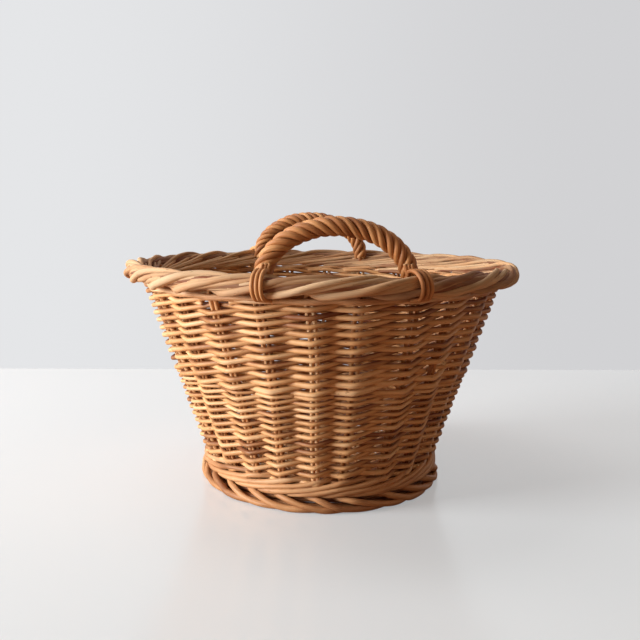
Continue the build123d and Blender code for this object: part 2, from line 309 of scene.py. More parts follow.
def linear(colour: COLOUR) -> tuple[float, float, float, float]:
    """Scene-linear RGBA of a colour that is written as 0 to 255 on screen."""
    share = [value / 255 for value in colour]
    return (*[v / 12.92 if v <= 0.04045 else ((v + 0.055) / 1.055) ** 2.4 for v in share], 1.0)


class NodeBoard:
    """Short way to place and join shader nodes on one tree."""

    def __init__(self, tree: bpy.types.NodeTree) -> None:
        """Keeps the tree."""
        self.tree = tree

    @classmethod
    def emptied(cls, owner: bpy.types.Material | bpy.types.World) -> "NodeBoard":
        """Takes away the nodes of a material or a world and lays a board on its tree.

        Args:
            owner: The material or world.

        Returns:
            The board.
        """
        owner.use_nodes = True
        owner.node_tree.nodes.clear()
        return cls(owner.node_tree)

    def put(self, kind: str, inputs: dict | None = None, **settings: object) -> bpy.types.Node:
        """Adds a node.

        Args:
            kind: Type name of the node.
            inputs: Socket name or number to a value, or to a socket that feeds it.
            settings: Properties of the node.

        Returns:
            The node.
        """
        node = self.tree.nodes.new(kind)
        for name, value in settings.items():
            setattr(node, name, value)
        for key, value in (inputs or {}).items():
            if isinstance(value, bpy.types.NodeSocket):
                self.tree.links.new(value, node.inputs[key])
            else:
                node.inputs[key].default_value = value
        return node

    def blend(self, factor: object, first: object, second: object) -> bpy.types.NodeSocket:
        """Colour mixed from two others.

        Args:
            factor: Share of the second colour.
            first: First colour.
            second: Second colour.

        Returns:
            The mixed colour.
        """
        node = self.put("ShaderNodeMix", data_type="RGBA")
        sockets = {"Factor_Float": factor, "A_Color": first, "B_Color": second}
        for socket in node.inputs:
            value = sockets.get(socket.identifier)
            if isinstance(value, bpy.types.NodeSocket):
                self.tree.links.new(value, socket)
            elif value is not None:
                socket.default_value = value
        return next(s for s in node.outputs if s.identifier == "Result_Color")

    def mix(
        self, factor: bpy.types.NodeSocket, first: bpy.types.Node, second: bpy.types.Node
    ) -> bpy.types.Node:
        """Shader mixed from two others, where the factor is the share of the second."""
        shaders = {0: factor, 1: first.outputs[0], 2: second.outputs[0]}
        return self.put("ShaderNodeMixShader", shaders)

    def maths(self, operation: str, *values: object, clamp: bool = False) -> bpy.types.NodeSocket:
        """Result of a maths node."""
        inputs = dict(enumerate(values))
        return self.put("ShaderNodeMath", inputs, operation=operation, use_clamp=clamp).outputs[0]

    def ranged(
        self, value: object, low: float, high: float, start: float = 0.0, stop: float = 1.0
    ) -> bpy.types.NodeSocket:
        """Value carried smoothly from one range to another.

        Args:
            value: Value to carry over.
            low: Value that gives the start.
            high: Value that gives the stop.
            start: Result at and below the low value.
            stop: Result at and above the high value.

        Returns:
            The result.
        """
        inputs = {"Value": value, "From Min": low, "From Max": high, "To Min": start, "To Max": stop}
        node = self.put("ShaderNodeMapRange", inputs, interpolation_type="SMOOTHSTEP")
        return node.outputs["Result"]


def new_group(name: str, inputs: dict[str, object], outputs: dict[str, str]) -> tuple:
    """Starts a shader node group.

    Args:
        name: Name of the group.
        inputs: Input name to its default, a number or a colour.
        outputs: Output name to its socket type.

    Returns:
        The group, its board, its input node's outputs and its output node.
    """
    group = bpy.data.node_groups.new(name, "ShaderNodeTree")
    for label, default in inputs.items():
        kind = "NodeSocketFloat" if isinstance(default, float) else "NodeSocketColor"
        socket = group.interface.new_socket(label, in_out="INPUT", socket_type=kind)
        socket.default_value = default
    for label, kind in outputs.items():
        group.interface.new_socket(label, in_out="OUTPUT", socket_type=kind)
    board = NodeBoard(group)
    given = board.put("NodeGroupInput").outputs
    result = board.put("NodeGroupOutput")
    return group, board, given, result


def rod_grain_group() -> bpy.types.NodeTree:
    """Builds the group that every willow finish uses.

    Streaks and blotches follow each rod's own length, so that they run on round bends. The
    group gives the colour, the roughness and the height of the skin of the rods.

    Returns:
        The node group.
    """
    inputs = {
        "Pale": linear((226, 178, 118)),
        "Honey": linear((196, 138, 80)),
        "Umber": linear((120, 66, 30)),
        "Cut Wood": linear((226, 196, 150)),
        "Weather": linear((158, 132, 104)),
        "Weathering": 0.0,
        "Streaks": 0.5,
        "Polish": 0.45,
    }
    outputs = {"Colour": "NodeSocketColor", "Roughness": "NodeSocketFloat", "Height": "NodeSocketFloat"}
    group, board, given, result = new_group("Willow Rod Grain", inputs, outputs)
    grain = board.put("ShaderNodeAttribute", attribute_name="grain").outputs["Vector"]
    tone = board.put("ShaderNodeAttribute", attribute_name="tone").outputs["Fac"]
    cut = board.put("ShaderNodeAttribute", attribute_name="cut").outputs["Fac"]

    def noise(along: float, across: float, detail: float, rough: float) -> bpy.types.NodeSocket:
        """Noise stretched along the rod.

        Args:
            along: Waves per metre along the rod.
            across: Waves per metre across it.
            detail: Number of finer layers.
            rough: Strength of each finer layer, as a share of the one before.

        Returns:
            The noise, from 0 to 1.
        """
        stretch = (along, across, across)
        spot = board.put("ShaderNodeVectorMath", {0: grain, 1: stretch}, operation="MULTIPLY")
        values = {"Vector": spot.outputs[0], "Scale": 1.0, "Detail": detail, "Roughness": rough}
        return board.put("ShaderNodeTexNoise", values).outputs["Fac"]

    streak = noise(along=24.0, across=760.0, detail=4.0, rough=0.6)
    blotch = noise(along=22.0, across=90.0, detail=3.0, rough=0.55)
    speck = noise(along=190.0, across=620.0, detail=2.0, rough=0.5)
    fibre = noise(along=60.0, across=2200.0, detail=2.0, rough=0.6)
    lightness = board.maths("MULTIPLY_ADD", blotch, 0.9, board.maths("MULTIPLY_ADD", tone, 0.9, -0.45))
    dark = board.blend(board.ranged(lightness, 0.05, 0.5), given["Umber"], given["Honey"])
    body = board.blend(board.ranged(lightness, 0.35, 0.95), dark, given["Pale"])
    line = board.maths("MULTIPLY", board.ranged(streak, 0.5, 0.72), given["Streaks"])
    streaked = board.blend(line, body, given["Umber"])
    speckled = board.blend(board.ranged(speck, 0.66, 0.74, 0.0, 0.55), streaked, given["Umber"])
    aged = board.maths("MULTIPLY", board.ranged(blotch, 0.3, 0.62), given["Weathering"])
    weathered = board.blend(aged, speckled, given["Weather"])
    pith = board.ranged(cut, 0.93, 1.0, 0.0, 0.6)
    end_grain = board.blend(pith, given["Cut Wood"], given["Umber"])
    colour = board.blend(board.ranged(cut, 0.3, 0.75), weathered, end_grain)
    rough = board.maths("MULTIPLY_ADD", streak, 0.25, given["Polish"])
    worn = board.maths("MULTIPLY_ADD", aged, 0.22, rough)
    ridge = board.maths("MULTIPLY_ADD", fibre, 0.35, streak)
    pitted = board.maths("SUBTRACT", ridge, board.ranged(speck, 0.64, 0.74, 0.0, 0.5))
    links = (("Colour", colour), ("Roughness", worn), ("Height", pitted))
    for label, socket in links:
        group.links.new(socket, result.inputs[label])
    return group


@dataclass(frozen=True)
class WillowFinish:
    """Skin of willow rods.

    Attributes:
        name: Name of the material.
        pale: Colour of the lightest rods, 0 to 255.
        honey: Main colour.
        umber: Colour of streaks and specks.
        weathering: How far the skin has gone grey, 0 to 1.
        streaks: Strength of the streaks.
        polish: Roughness of the smoothest skin.
        relief: Depth of the grain.
    """

    name: str
    pale: COLOUR = (242, 209, 164)
    honey: COLOUR = (220, 167, 112)
    umber: COLOUR = (122, 68, 36)
    weathering: float = 0.0
    streaks: float = 0.4
    polish: float = 0.38
    relief: float = 0.00018

    def material(self, group: bpy.types.NodeTree) -> bpy.types.Material:
        """Makes the material.

        Args:
            group: The rod grain group.

        Returns:
            The material.
        """
        material = bpy.data.materials.new(self.name)
        board = NodeBoard.emptied(material)
        skin = board.put("ShaderNodeGroup", node_tree=group)
        values = {
            "Pale": linear(self.pale),
            "Honey": linear(self.honey),
            "Umber": linear(self.umber),
            "Weathering": self.weathering,
            "Streaks": self.streaks,
            "Polish": self.polish,
        }
        for label, value in values.items():
            skin.inputs[label].default_value = value
        ridges = {"Height": skin.outputs["Height"], "Distance": self.relief, "Strength": 0.8}
        bump = board.put("ShaderNodeBump", ridges)
        shader = board.put(
            "ShaderNodeBsdfPrincipled",
            {
                "Base Color": skin.outputs["Colour"],
                "Roughness": skin.outputs["Roughness"],
                "Normal": bump.outputs["Normal"],
                "Specular IOR Level": 0.3,
            },
        )
        board.put("ShaderNodeOutputMaterial", {"Surface": shader.outputs[0]})
        return material


# --- Wall ---------------------------------------------------------------------------------


@dataclass
class WallForm:
    """Leaning oval line of the stakes, which every rod is laid against.

    Attributes:
        foot_height: Height at which the wall has the size of the base.
        rim_height: Height at which it has the size of the rim.
        base_half_width: Half of its width at the foot.
        base_half_length: Half of its length at the foot.
        rim_half_width: Half of its width at the rim.
        rim_half_length: Half of its length at the rim.
        stake_count: Number of stakes.
        sway: Most that a stake wavers to the side, in stakes.
        sway_length: Height over which it wavers once to and fro.
        strays: Stakes that stand off their place, with the distance at foot and rim in stakes.
    """

    foot_height: float
    rim_height: float
    base_half_width: float = 0.1030
    base_half_length: float = 0.1280
    rim_half_width: float = 0.1700
    rim_half_length: float = 0.1865
    stake_count: int = 24
    sway: float = 0.045
    sway_length: float = 0.19
    strays: tuple[tuple[int, float, float], ...] = (
        (14, 0.02, 0.08),
        (15, 0.10, 0.0),
        (17, 0.05, -0.07),
        (18, -0.20, -0.10),
        (19, 0.14, 0.0),
    )

    def __post_init__(self) -> None:
        """Draws how each stake sways."""
        rng = np.random.default_rng(11)
        self.phases = rng.uniform(0, FULL_TURN, self.stake_count)
        self.stray = np.zeros((self.stake_count, 2))
        for stake, at_foot, at_rim in self.strays:
            self.stray[stake] = at_foot, at_rim
        at_rim = self.rim_half_width + self.rim_half_length
        at_foot = self.base_half_width + self.base_half_length
        self.lean = math.atan2((at_rim - at_foot) / 2, self.rim_height - self.foot_height)

    def share(self, height: np.ndarray) -> np.ndarray:
        """How far up the wall a height is, from 0 at the foot to 1 at the rim."""
        return (np.asarray(height) - self.foot_height) / (self.rim_height - self.foot_height)

    def half_axes(self, height: np.ndarray) -> tuple[np.ndarray, np.ndarray]:
        """Half width and half length of the stake line at each height.

        Args:
            height: Heights.

        Returns:
            The half widths and the half lengths.
        """
        share = self.share(height)
        width = self.base_half_width + share * (self.rim_half_width - self.base_half_width)
        length = self.base_half_length + share * (self.rim_half_length - self.base_half_length)
        return width, length

    def swayed(self, stake: np.ndarray, height: np.ndarray) -> np.ndarray:
        """Stake places moved with the stakes beside them.

        Args:
            stake: Places round the wall, in stakes.
            height: Heights.

        Returns:
            The places, moved.
        """
        low = np.floor(stake).astype(int)
        part = stake - low
        up = np.clip(self.share(height), 0, 1)
        turns = FULL_TURN * np.asarray(height) / self.sway_length
        moved = []
        for beside in (low % self.stake_count, (low + 1) % self.stake_count):
            stray = self.stray[beside]
            lean = stray[..., 0] * (1 - up) + stray[..., 1] * up
            moved.append(lean + self.sway * np.sin(turns + self.phases[beside]))
        return stake + (1 - part) * moved[0] + part * moved[1]

    def frame_at(self, stake: np.ndarray, height: np.ndarray) -> tuple[np.ndarray, np.ndarray]:
        """Places on the stake line and the level directions out of the wall.

        Args:
            stake: Places round the wall, in stakes.
            height: Heights.

        Returns:
            The places and the directions.
        """
        stake, height = np.broadcast_arrays(np.asarray(stake, float), np.asarray(height, float))
        width, length = self.half_axes(height)
        angle = FULL_TURN * (self.swayed(stake, height) + 0.5) / self.stake_count
        level = np.zeros_like(angle)
        middle = np.stack([width * np.cos(angle), length * np.sin(angle), height], axis=-1)
        outward = unit(np.stack([length * np.cos(angle), width * np.sin(angle), level], axis=-1))
        return middle, outward

    def normal(self, stake: np.ndarray, height: np.ndarray) -> np.ndarray:
        """Directions square to the leaning wall."""
        outward = self.frame_at(stake, height)[1]
        return outward * math.cos(self.lean) - UP * math.sin(self.lean)

    def place(self, stake: np.ndarray, height: np.ndarray, out: np.ndarray | float = 0.0) -> np.ndarray:
        """Points at a distance square to the wall.

        Args:
            stake: Places round the wall, in stakes.
            height: Heights.
            out: Distances out of the wall.

        Returns:
            The points.
        """
        stake, height, out = np.broadcast_arrays(stake, height, out)
        middle = self.frame_at(stake, height)[0]
        return middle + self.normal(stake, height) * out[..., None]

    def beside(self, stake: np.ndarray, height: np.ndarray, out: np.ndarray | float) -> np.ndarray:
        """Points at a level distance from the stake line at those heights.

        Args:
            stake: Places round the wall, in stakes.
            height: Heights.
            out: Level distances out.

        Returns:
            The points.
        """
        stake, height, out = np.broadcast_arrays(stake, height, out)
        middle, outward = self.frame_at(stake, height)
        return middle + outward * out[..., None]

    def along(self, stake: float, height: float) -> np.ndarray:
        """Level direction along the wall at one place."""
        return np.cross(UP, self.frame_at(stake, height)[1])

    def gap(self, height: float) -> float:
        """Average distance between neighbouring stakes."""
        width, length = self.half_axes(height)
        return FULL_TURN * math.sqrt((width**2 + length**2) / 2) / self.stake_count


class WovenPart(ABC):
    """Part of the basket whose rods make up one piece.

    Attributes:
        name: Name of the piece.
        seed: Seed of the random draws.
        SLOT: Name of a material slot; nothing reads it.
        SIDES: Number of facets round each rod.
        TONE_SPREAD: How far the rods differ in tone.
        CREVICE_SHADE: Painted shade: how much darker a rod is where its neighbours lie against it.
    """

    name: str
    seed: int
    SLOT: ClassVar[str]
    SIDES: ClassVar[int] = 10
    TONE_SPREAD: ClassVar[float] = 0.3
    CREVICE_SHADE: ClassVar[float] = 0.0

    @abstractmethod
    def lay(self, bundle: RodBundle, wall: WallForm) -> None:
        """Lays the part's rods.

        Args:
            bundle: The bundle that they join.
            wall: The wall.
        """

    def build(self, wall: WallForm, finish: bpy.types.Material, nodes: list[str]) -> None:
        """Makes the piece.

        Args:
            wall: The wall.
            finish: Material of the rods.
            nodes: Nodes that the piece stands for.
        """
        bundle = RodBundle(self.SIDES, self.seed, self.TONE_SPREAD, self.CREVICE_SHADE)
        self.lay(bundle, wall)
        fit_piece(bundle.build(self.name), finish, nodes)


# --- Siding -------------------------------------------------------------------------------


@dataclass
class Siding(WovenPart):
    """One band of French randing: a rod at each stake, woven over one and under one.

    Attributes:
        name: Name of the piece.
        bottom: Height of its lowest strokes.
        top: Height of its highest strokes.
        strokes: Number of stakes that each rod passes.
        butt: Diameter of a rod where it starts.
        tip: Diameter of a rod where it ends.
        squash_up: Spacing of the highest strokes as a share of that of the lowest.
        swing: Distance from the stakes' line to the middle of a rod that passes in front.
        flat: Share of a stroke over which a rod lies flat on the stakes.
        crease: How sharply a rod bends there.
        inside: Strokes by which a rod starts before its first, on the inside.
        sag: Distance by which the rods cut the corner between two stakes.
        uneven: Least and greatest thickness of a rod, as a share of the usual one.
        wander: Most that a rod wanders from its line.
        slip: Usual slip of a rod's start up or down.
        slip_strokes: Strokes over which it fades.
        tone_change: Usual difference in tone between rods.
        depth_shading: Painted light and shade: how much paler a rod is in front of the stakes and
            darker behind them.
        broken: Stakes and heights at which a rod is broken away in front.
        break_height: Height over which it is.
        break_reach: Strokes over which it is, to each side of the stake.
        steps: Points on a rod from one stake to the next.
        seed: Seed of its random draws.
    """

    SLOT = "willow_siding"
    SIDES = 8
    # Painted shade where the rods lie against each other.
    CREVICE_SHADE = 0.55

    name: str
    bottom: float
    top: float
    strokes: int
    butt: float
    tip: float
    squash_up: float
    swing: float = 0.0053
    flat: float = 0.05
    crease: float = 12.0
    inside: tuple[float, float] = (-1.25, -0.9)
    sag: float = 0.0012
    uneven: tuple[float, float] = (0.93, 1.07)
    wander: float = 0.0003
    slip: float = 0.0008
    slip_strokes: float = 1.5
    tone_change: float = 0.22
    depth_shading: float = 0.16
    broken: tuple[tuple[int, float], ...] = ()
    break_height: float = 0.007
    break_reach: float = 0.36
    steps: int = 14
    seed: int = 1

    def stroke_heights(self) -> np.ndarray:
        """Height of each stroke, with the spacing narrowing upwards.

        Returns:
            The heights, from the lowest stroke up.
        """
        pitch = np.linspace(1.0, self.squash_up, self.strokes - 1)
        rise = np.concatenate([[0.0], np.cumsum(pitch)])
        return self.bottom + (self.top - self.bottom) * rise / rise[-1]

    def level(self, stroke: np.ndarray) -> np.ndarray:
        """Which side of the stakes a rod is on: 1 in front, -1 behind.

        Args:
            stroke: Strokes along the rod.

        Returns:
            The side at each of them, with the crossings between.
        """
        ramp = 1 - 2 * np.abs(np.mod(stroke + 1, 2) - 1)
        steep = ramp / (1 - self.flat)
        return steep / (1 + np.abs(steep) ** self.crease) ** (1 / self.crease)

    def kept(self, first: int, stroke: np.ndarray, height: np.ndarray, stakes: int) -> list[np.ndarray]:
        """Runs of a rod that are left between its breaks.

        Args:
            first: Stake where the rod starts.
            stroke: Strokes along it.
            height: Heights along it.
            stakes: Number of stakes round the wall.

        Returns:
            The numbers of the points of each run.
        """
        whole = np.ones(len(stroke), bool)
        for stake, level in self.broken:
            passed = (stake - first) % stakes
            here = np.abs(stroke - passed) < self.break_reach
            if passed % 2 or not here.any():
                continue
            if np.abs(height[here].mean() - level) < self.break_height / 2:
                whole[here] = False
        ends = np.flatnonzero(np.diff(np.concatenate([[0], whole, [0]])))
        runs = zip(ends[::2], ends[1::2])
        return [np.arange(start, stop) for start, stop in runs if stop - start > 3]

    def lay(self, bundle: RodBundle, wall: WallForm) -> None:
        """Weaves the band's rods, one from each stake.

        Args:
            bundle: The bundle that they join.
            wall: The wall.
        """
        heights = self.stroke_heights()
        numbers = np.arange(self.strokes)
        stroke = np.arange(self.inside[0], self.strokes - 0.5, 1 / self.steps)
        pitch = (self.top - self.bottom) / self.strokes
        rise_wave, swing_wave = 3.1, 2.7  # strokes over which a rod wanders to and fro once
        for first in range(wall.stake_count):
            rng = bundle.rng
            stout = rng.uniform(*self.uneven)
            reach = stroke[stroke > rng.uniform(*self.inside)]
            share = np.clip(reach / (self.strokes - 1), 0, 1)
            diameter = stout * (self.butt + (self.tip - self.butt) * share)
            height = np.interp(reach, numbers, heights) + drift(rng, reach, rise_wave, self.wander)
            slip = rng.normal(0, self.slip) * np.exp(-np.maximum(reach, 0) / self.slip_strokes)
            height += slip + pitch * np.minimum(reach, 0)
            level = self.level(reach)
            swing = self.swing + (diameter - self.butt) / 4 + drift(rng, reach, swing_wave, self.wander)
            out = swing * level - self.sag * (1 - np.abs(level))
            place = first + reach
            line = wall.place(place, height, out)
            facing = wall.normal(place, height)
            # Random tone, plus painted light in front of the stakes and painted shade behind them.
            tone = rng.normal(0, self.tone_change) + self.depth_shading * level
            for run in self.kept(first, reach, height, wall.stake_count):
                bundle.add(line[run], diameter[run] / 2, facing[run], tone=tone[run])


# --- Waling -------------------------------------------------------------------------------


@dataclass
class Waling(WovenPart):
    """Three-rod wale, each rod in front of two stakes and behind one.

    Attributes:
        name: Name of the piece.
        bottom: Height of its lower edge.
        top: Height of its upper edge.
        rounds: Times that the rods go round.
        diameter: Diameter of the rods.
        first_stake: Stake where the rods start.
        stake_diameter: Diameter of the stakes.
        rod_count: Number of rods worked together.
        sag: Distance by which the rods cut the corner between two stakes.
        lift: Distance by which they stand out of the siding.
        climb: Half the height that a rod gains in its stroke, beyond what its round leaves free.
        least_climb: Least half of that height.
        uneven: Least and greatest thickness of a rod, as a share of the usual one.
        wander: Most that a rod wanders up and down, and the stakes over which it does so once.
        steps: Points on a rod from one stake to the next.
        seed: Seed of its random draws.
    """

    SLOT = "willow_wale"
    SIDES = 9
    TONE_SPREAD = 0.6

    name: str
    bottom: float
    top: float
    rounds: int
    diameter: float
    first_stake: float
    stake_diameter: float = 0.0038
    rod_count: int = 3
    sag: float = 0.0020
    lift: float = 0.0006
    climb: float = 0.0009
    least_climb: float = 0.0002
    uneven: tuple[float, float] = (0.93, 1.05)
    wander: tuple[float, float] = (0.00025, 5.0)
    steps: int = 8
    seed: int = 2

    def lay(self, bundle: RodBundle, wall: WallForm) -> None:
        """Works the wale's rods, one after another.

        Args:
            bundle: The bundle that they join.
            wall: The wall.
        """
        size, wave = self.wander
        pitch = (self.top - self.bottom) / self.rounds
        for number in range(self.rod_count * self.rounds):
            turn, rod = divmod(number, self.rod_count)
            stroke = np.arange(-0.4, wall.stake_count + 0.45, 1 / self.steps)
            out_share, rise = self.stroke_shape(np.mod(stroke, self.rod_count))
            diameter = self.diameter * bundle.rng.uniform(*self.uneven)
            reach = (self.stake_diameter + diameter) / 2
            corner = 1 - np.abs(2 * np.mod(stroke, 1) - 1)
            out = reach * (2 * out_share - 1) + self.lift - self.sag * corner
            half = max(self.least_climb, (pitch - diameter) / 2 + self.climb)
            height = self.bottom + pitch * (turn + 0.5) + half * rise
            height += drift(bundle.rng, stroke, wave, size)
            place = self.first_stake + rod + stroke
            line = wall.place(place, height, out)
            bundle.add(line, diameter / 2, wall.normal(place, height), tone=bundle.rng.normal(0, 0.2))

    @staticmethod
    def stroke_shape(stroke: np.ndarray) -> tuple[np.ndarray, np.ndarray]:
        """How far out, 0 to 1, and how high, -1 to 1, a rod is.

        Args:
            stroke: Stakes from the one that the rod passes behind, 0 to 3.

        Returns:
            The two shares.
        """
        crossing, hidden = 0.85, 0.35  # stakes over which a rod comes out, and over which it dips
        away = np.minimum(stroke, 3 - stroke)
        out = np.clip(away / crossing, 0, 1)
        climb = np.clip((stroke - hidden) / (3 - 2 * hidden), 0, 1)
        fall = np.clip(np.mod(stroke + hidden, 3) / (2 * hidden), 0, 1)
        rise = np.where(away < hidden, np.cos(np.pi * fall), -np.cos(np.pi * climb))
        return out * out * (3 - 2 * out), rise


# --- Stakes -------------------------------------------------------------------------------


@dataclass
class Stakes:
    """Uprights of the wall, a stake and a bye-stake side by side at each place.

    Attributes:
        top: Height at which the bye-stakes end under the border.
        bottom: Height of the stakes' turn under the base.
        diameter: Diameter of a stake at the foot.
        bye_diameter: Diameter of a bye-stake.
        apart: Distance between the middles of the two.
        base_reach: How far a stake runs in under the base.
        bend: Radius of the turn from the base up into the wall.
        thinning: Diameter of a stake at its tip, as a share of that at the foot.
        fold: Stakes on, distances out and rises of the points where a stake turns into the border.
        seed: Seed of the random draws.
    """

    FACING_HEIGHT: ClassVar[float] = 0.1  # height at which the wall's directions are taken

    top: float
    bottom: float
    diameter: float = 0.0044
    bye_diameter: float = 0.0040
    apart: float = 0.0050
    base_reach: float = 0.020
    bend: float = 0.007
    thinning: float = 0.84
    fold: tuple[tuple[float, float, float], ...] = (
        (0.12, 0.0008, -0.0045),
        (0.36, 0.0050, -0.0010),
        (0.72, 0.0110, 0.0005),
    )
    seed: int = 3

    def upright(self, wall: WallForm, place: float, top: float) -> np.ndarray:
        """Line of a rod up the wall from the turn under the base."""
        height = np.linspace(self.bottom + self.bend, top, 40)
        return wall.place(np.full_like(height, place), height)

    def stake(self, wall: WallForm, place: float) -> np.ndarray:
        """Line of a stake: from under the base, up the wall and over into the border.

        Args:
            wall: The wall.
            place: Its place round the wall, in stakes.

        Returns:
            Points along it.
        """
        line = self.upright(wall, place, self.top)
        outward = wall.frame_at(place, self.bottom)[1]
        corner = wall.place(place, self.bottom)
        turn = np.linspace(0, 0.85, 6)[:, None]  # ends short of the upright's first point
        inner = corner - outward * self.bend
        curve = (1 - turn) ** 2 * inner + 2 * turn * (1 - turn) * corner + turn**2 * line[0]
        start = inner - outward * np.linspace(self.base_reach, 0.003, 6)[:, None]
        over = [
            wall.beside(place + step, wall.rim_height, out) + UP * rise for step, out, rise in self.fold
        ]
        bent = smooth_line(np.vstack([line[-3:], *over]), 4)
        return np.vstack([start, curve, line[:-3], bent])

    def build(self, wall: WallForm, finish: bpy.types.Material) -> None:
        """Sets stakes and bye-stakes round the wall.

        Args:
            wall: The wall.
            finish: Material of the rods.
        """
        stakes = RodBundle(8, self.seed, tone_spread=0.6)
        bye_stakes = RodBundle(8, self.seed + 1, tone_spread=0.6)
        side = self.apart / 2 / wall.gap(self.FACING_HEIGHT)
        for number in range(wall.stake_count):
            line = self.stake(wall, number - side)
            radius = self.diameter / 2 * np.linspace(1, self.thinning, len(line))
            stakes.add(line, radius, wall.along(number, self.FACING_HEIGHT), RodEnd.CUT, RodEnd.TIP)
            line = self.upright(wall, number + side, self.top)
            facing = wall.frame_at(number, self.FACING_HEIGHT)[1]
            bye_stakes.add(line, self.bye_diameter / 2, facing, RodEnd.CUT, RodEnd.CUT)
        fit_piece(stakes.build("stake_rods"), finish, ["stakes"])
        fit_piece(bye_stakes.build("bye_stake_rods"), finish, ["bye_stakes"])


# --- Foot ---------------------------------------------------------------------------------


@dataclass
class RodRing:
    """Ring of like rods, one at each stake, that all follow the same course.

    Attributes:
        course: Stakes on from the start, level distances out and heights along a rod.
        diameter: Usual diameter.
        last: Finish of the far ends.
        sway: Usual wander of the course in stakes, distance out and height.
        uneven: Least and greatest thickness of a rod, as a share of the usual one.
    """

    course: list[list[float]]
    diameter: float
    last: RodEnd = RodEnd.TIP
    sway: tuple[float, float, float] = (0.04, 0.0003, 0.00015)
    uneven: tuple[float, float] = (0.9, 1.08)

    def lay(self, bundle: RodBundle, wall: WallForm) -> None:
        """Lays the rods.

        Args:
            bundle: The bundle that they join.
            wall: The wall.
        """
        rng = bundle.rng
        for number in range(wall.stake_count):
            radius = self.diameter / 2 * rng.uniform(*self.uneven)
            knots = np.array(self.course) + rng.normal(0, 1, (len(self.course), 3)) * self.sway
            curve = smooth_line(knots, 5)
            height = np.maximum(curve[:, 2], radius * FLOOR_MARGIN)
            line = wall.beside(number + curve[:, 0], height, curve[:, 1])
            bundle.add(line, radius, UP, RodEnd.CUT, self.last)


@dataclass
class FootBorder(WovenPart):
    """Border under the base, with rods that slant down to the right and run along the floor.

    Attributes:
        top: Height of the top of the foot.
        slant_diameter: Diameter of the rods that turn down.
        core_diameter: Diameter of the rods inside the border.
        core: Distances out and heights of those rods.
        seed: Seed of the random draws.
    """

    SLOT = "willow_foot"
    name: ClassVar[str] = "foot_border"

    top: float
    slant_diameter: float = 0.0058
    core_diameter: float = 0.0044
    core: tuple[tuple[float, float], ...] = ((0.0078, 0.0048), (0.0040, 0.0094), (0.0034, 0.0042))
    seed: int = 4

    def lay(self, bundle: RodBundle, wall: WallForm) -> None:
        """Lays the slanting rods, and those inside the border.

        Args:
            bundle: The bundle that they join.
            wall: The wall.
        """
        floor = self.slant_diameter / 2 * FLOOR_MARGIN
        slant = [
            [-0.40, 0.0010, self.top],
            [-0.05, 0.0082, self.top - 0.0006],
            [0.30, 0.0128, 0.0100],
            [0.70, 0.0150, 0.0060],
            [1.10, 0.0154, floor + 0.0006],
            [1.60, 0.0148, floor],
            [2.20, 0.0112, floor],
            [2.90, 0.0060, floor],
        ]
        RodRing(slant, self.slant_diameter, RodEnd.CUT).lay(bundle, wall)
        for out, height in self.core:
            stroke = np.linspace(0, wall.stake_count + 1.2, 240)
            wave = height + drift(bundle.rng, stroke, 9.0, 0.0003)
            line = wall.beside(stroke, wave, np.full_like(stroke, out))
            # Painted shade on this hidden rod.
            bundle.add(line, self.core_diameter / 2, UP, tone=HIDDEN_ROD_SHADE)


@dataclass
class Upsett(WovenPart):
    """Long strokes above the foot, each of which rises past three stakes.

    Attributes:
        bottom: Height of its lower edge.
        top: Height of its upper edge.
        diameter: Diameter of the rods.
        core_diameter: Diameter of the rods hidden behind them.
        core: Distances out of those rods, and their heights as shares of the upsett's.
        settle: Distance by which the rods sink into the foot border.
        seed: Seed of the random draws.
    """

    SLOT = "willow_wale"
    name: ClassVar[str] = "upsett"

    bottom: float
    top: float
    diameter: float = 0.0048
    core_diameter: float = 0.0052
    core: tuple[tuple[float, float], ...] = ((-0.0010, 0.25), (-0.0030, 0.75))
    settle: float = 0.0016
    seed: int = 8

    def lay(self, bundle: RodBundle, wall: WallForm) -> None:
        """Lays the strokes, and the rods hidden behind them.

        Args:
            bundle: The bundle that they join.
            wall: The wall.
        """
        low = self.bottom + self.diameter / 2 - self.settle
        high = self.top - self.diameter / 2
        course = [
            [-0.55, -0.0040, low],
            [-0.15, 0.0010, low],
            [0.25, 0.0070, low + 0.0003],
            [0.9, 0.0092, low + 0.0022],
            [1.7, 0.0080, low + 0.0054],
            [2.5, 0.0066, low + 0.0088],
            [3.0, 0.0050, high - 0.0006],
            [3.5, 0.0000, high],
            [4.0, -0.0052, high],
        ]
        RodRing(course, self.diameter).lay(bundle, wall)
        for out, share in self.core:
            stroke = np.linspace(0, wall.stake_count + 1.0, 240)
            height = np.full_like(stroke, low + share * (high - low))
            line = wall.beside(stroke, height, out)
            # Painted shade on this hidden rod.
            bundle.add(line, self.core_diameter / 2, UP, tone=HIDDEN_ROD_SHADE)


# --- Rim ----------------------------------------------------------------------------------


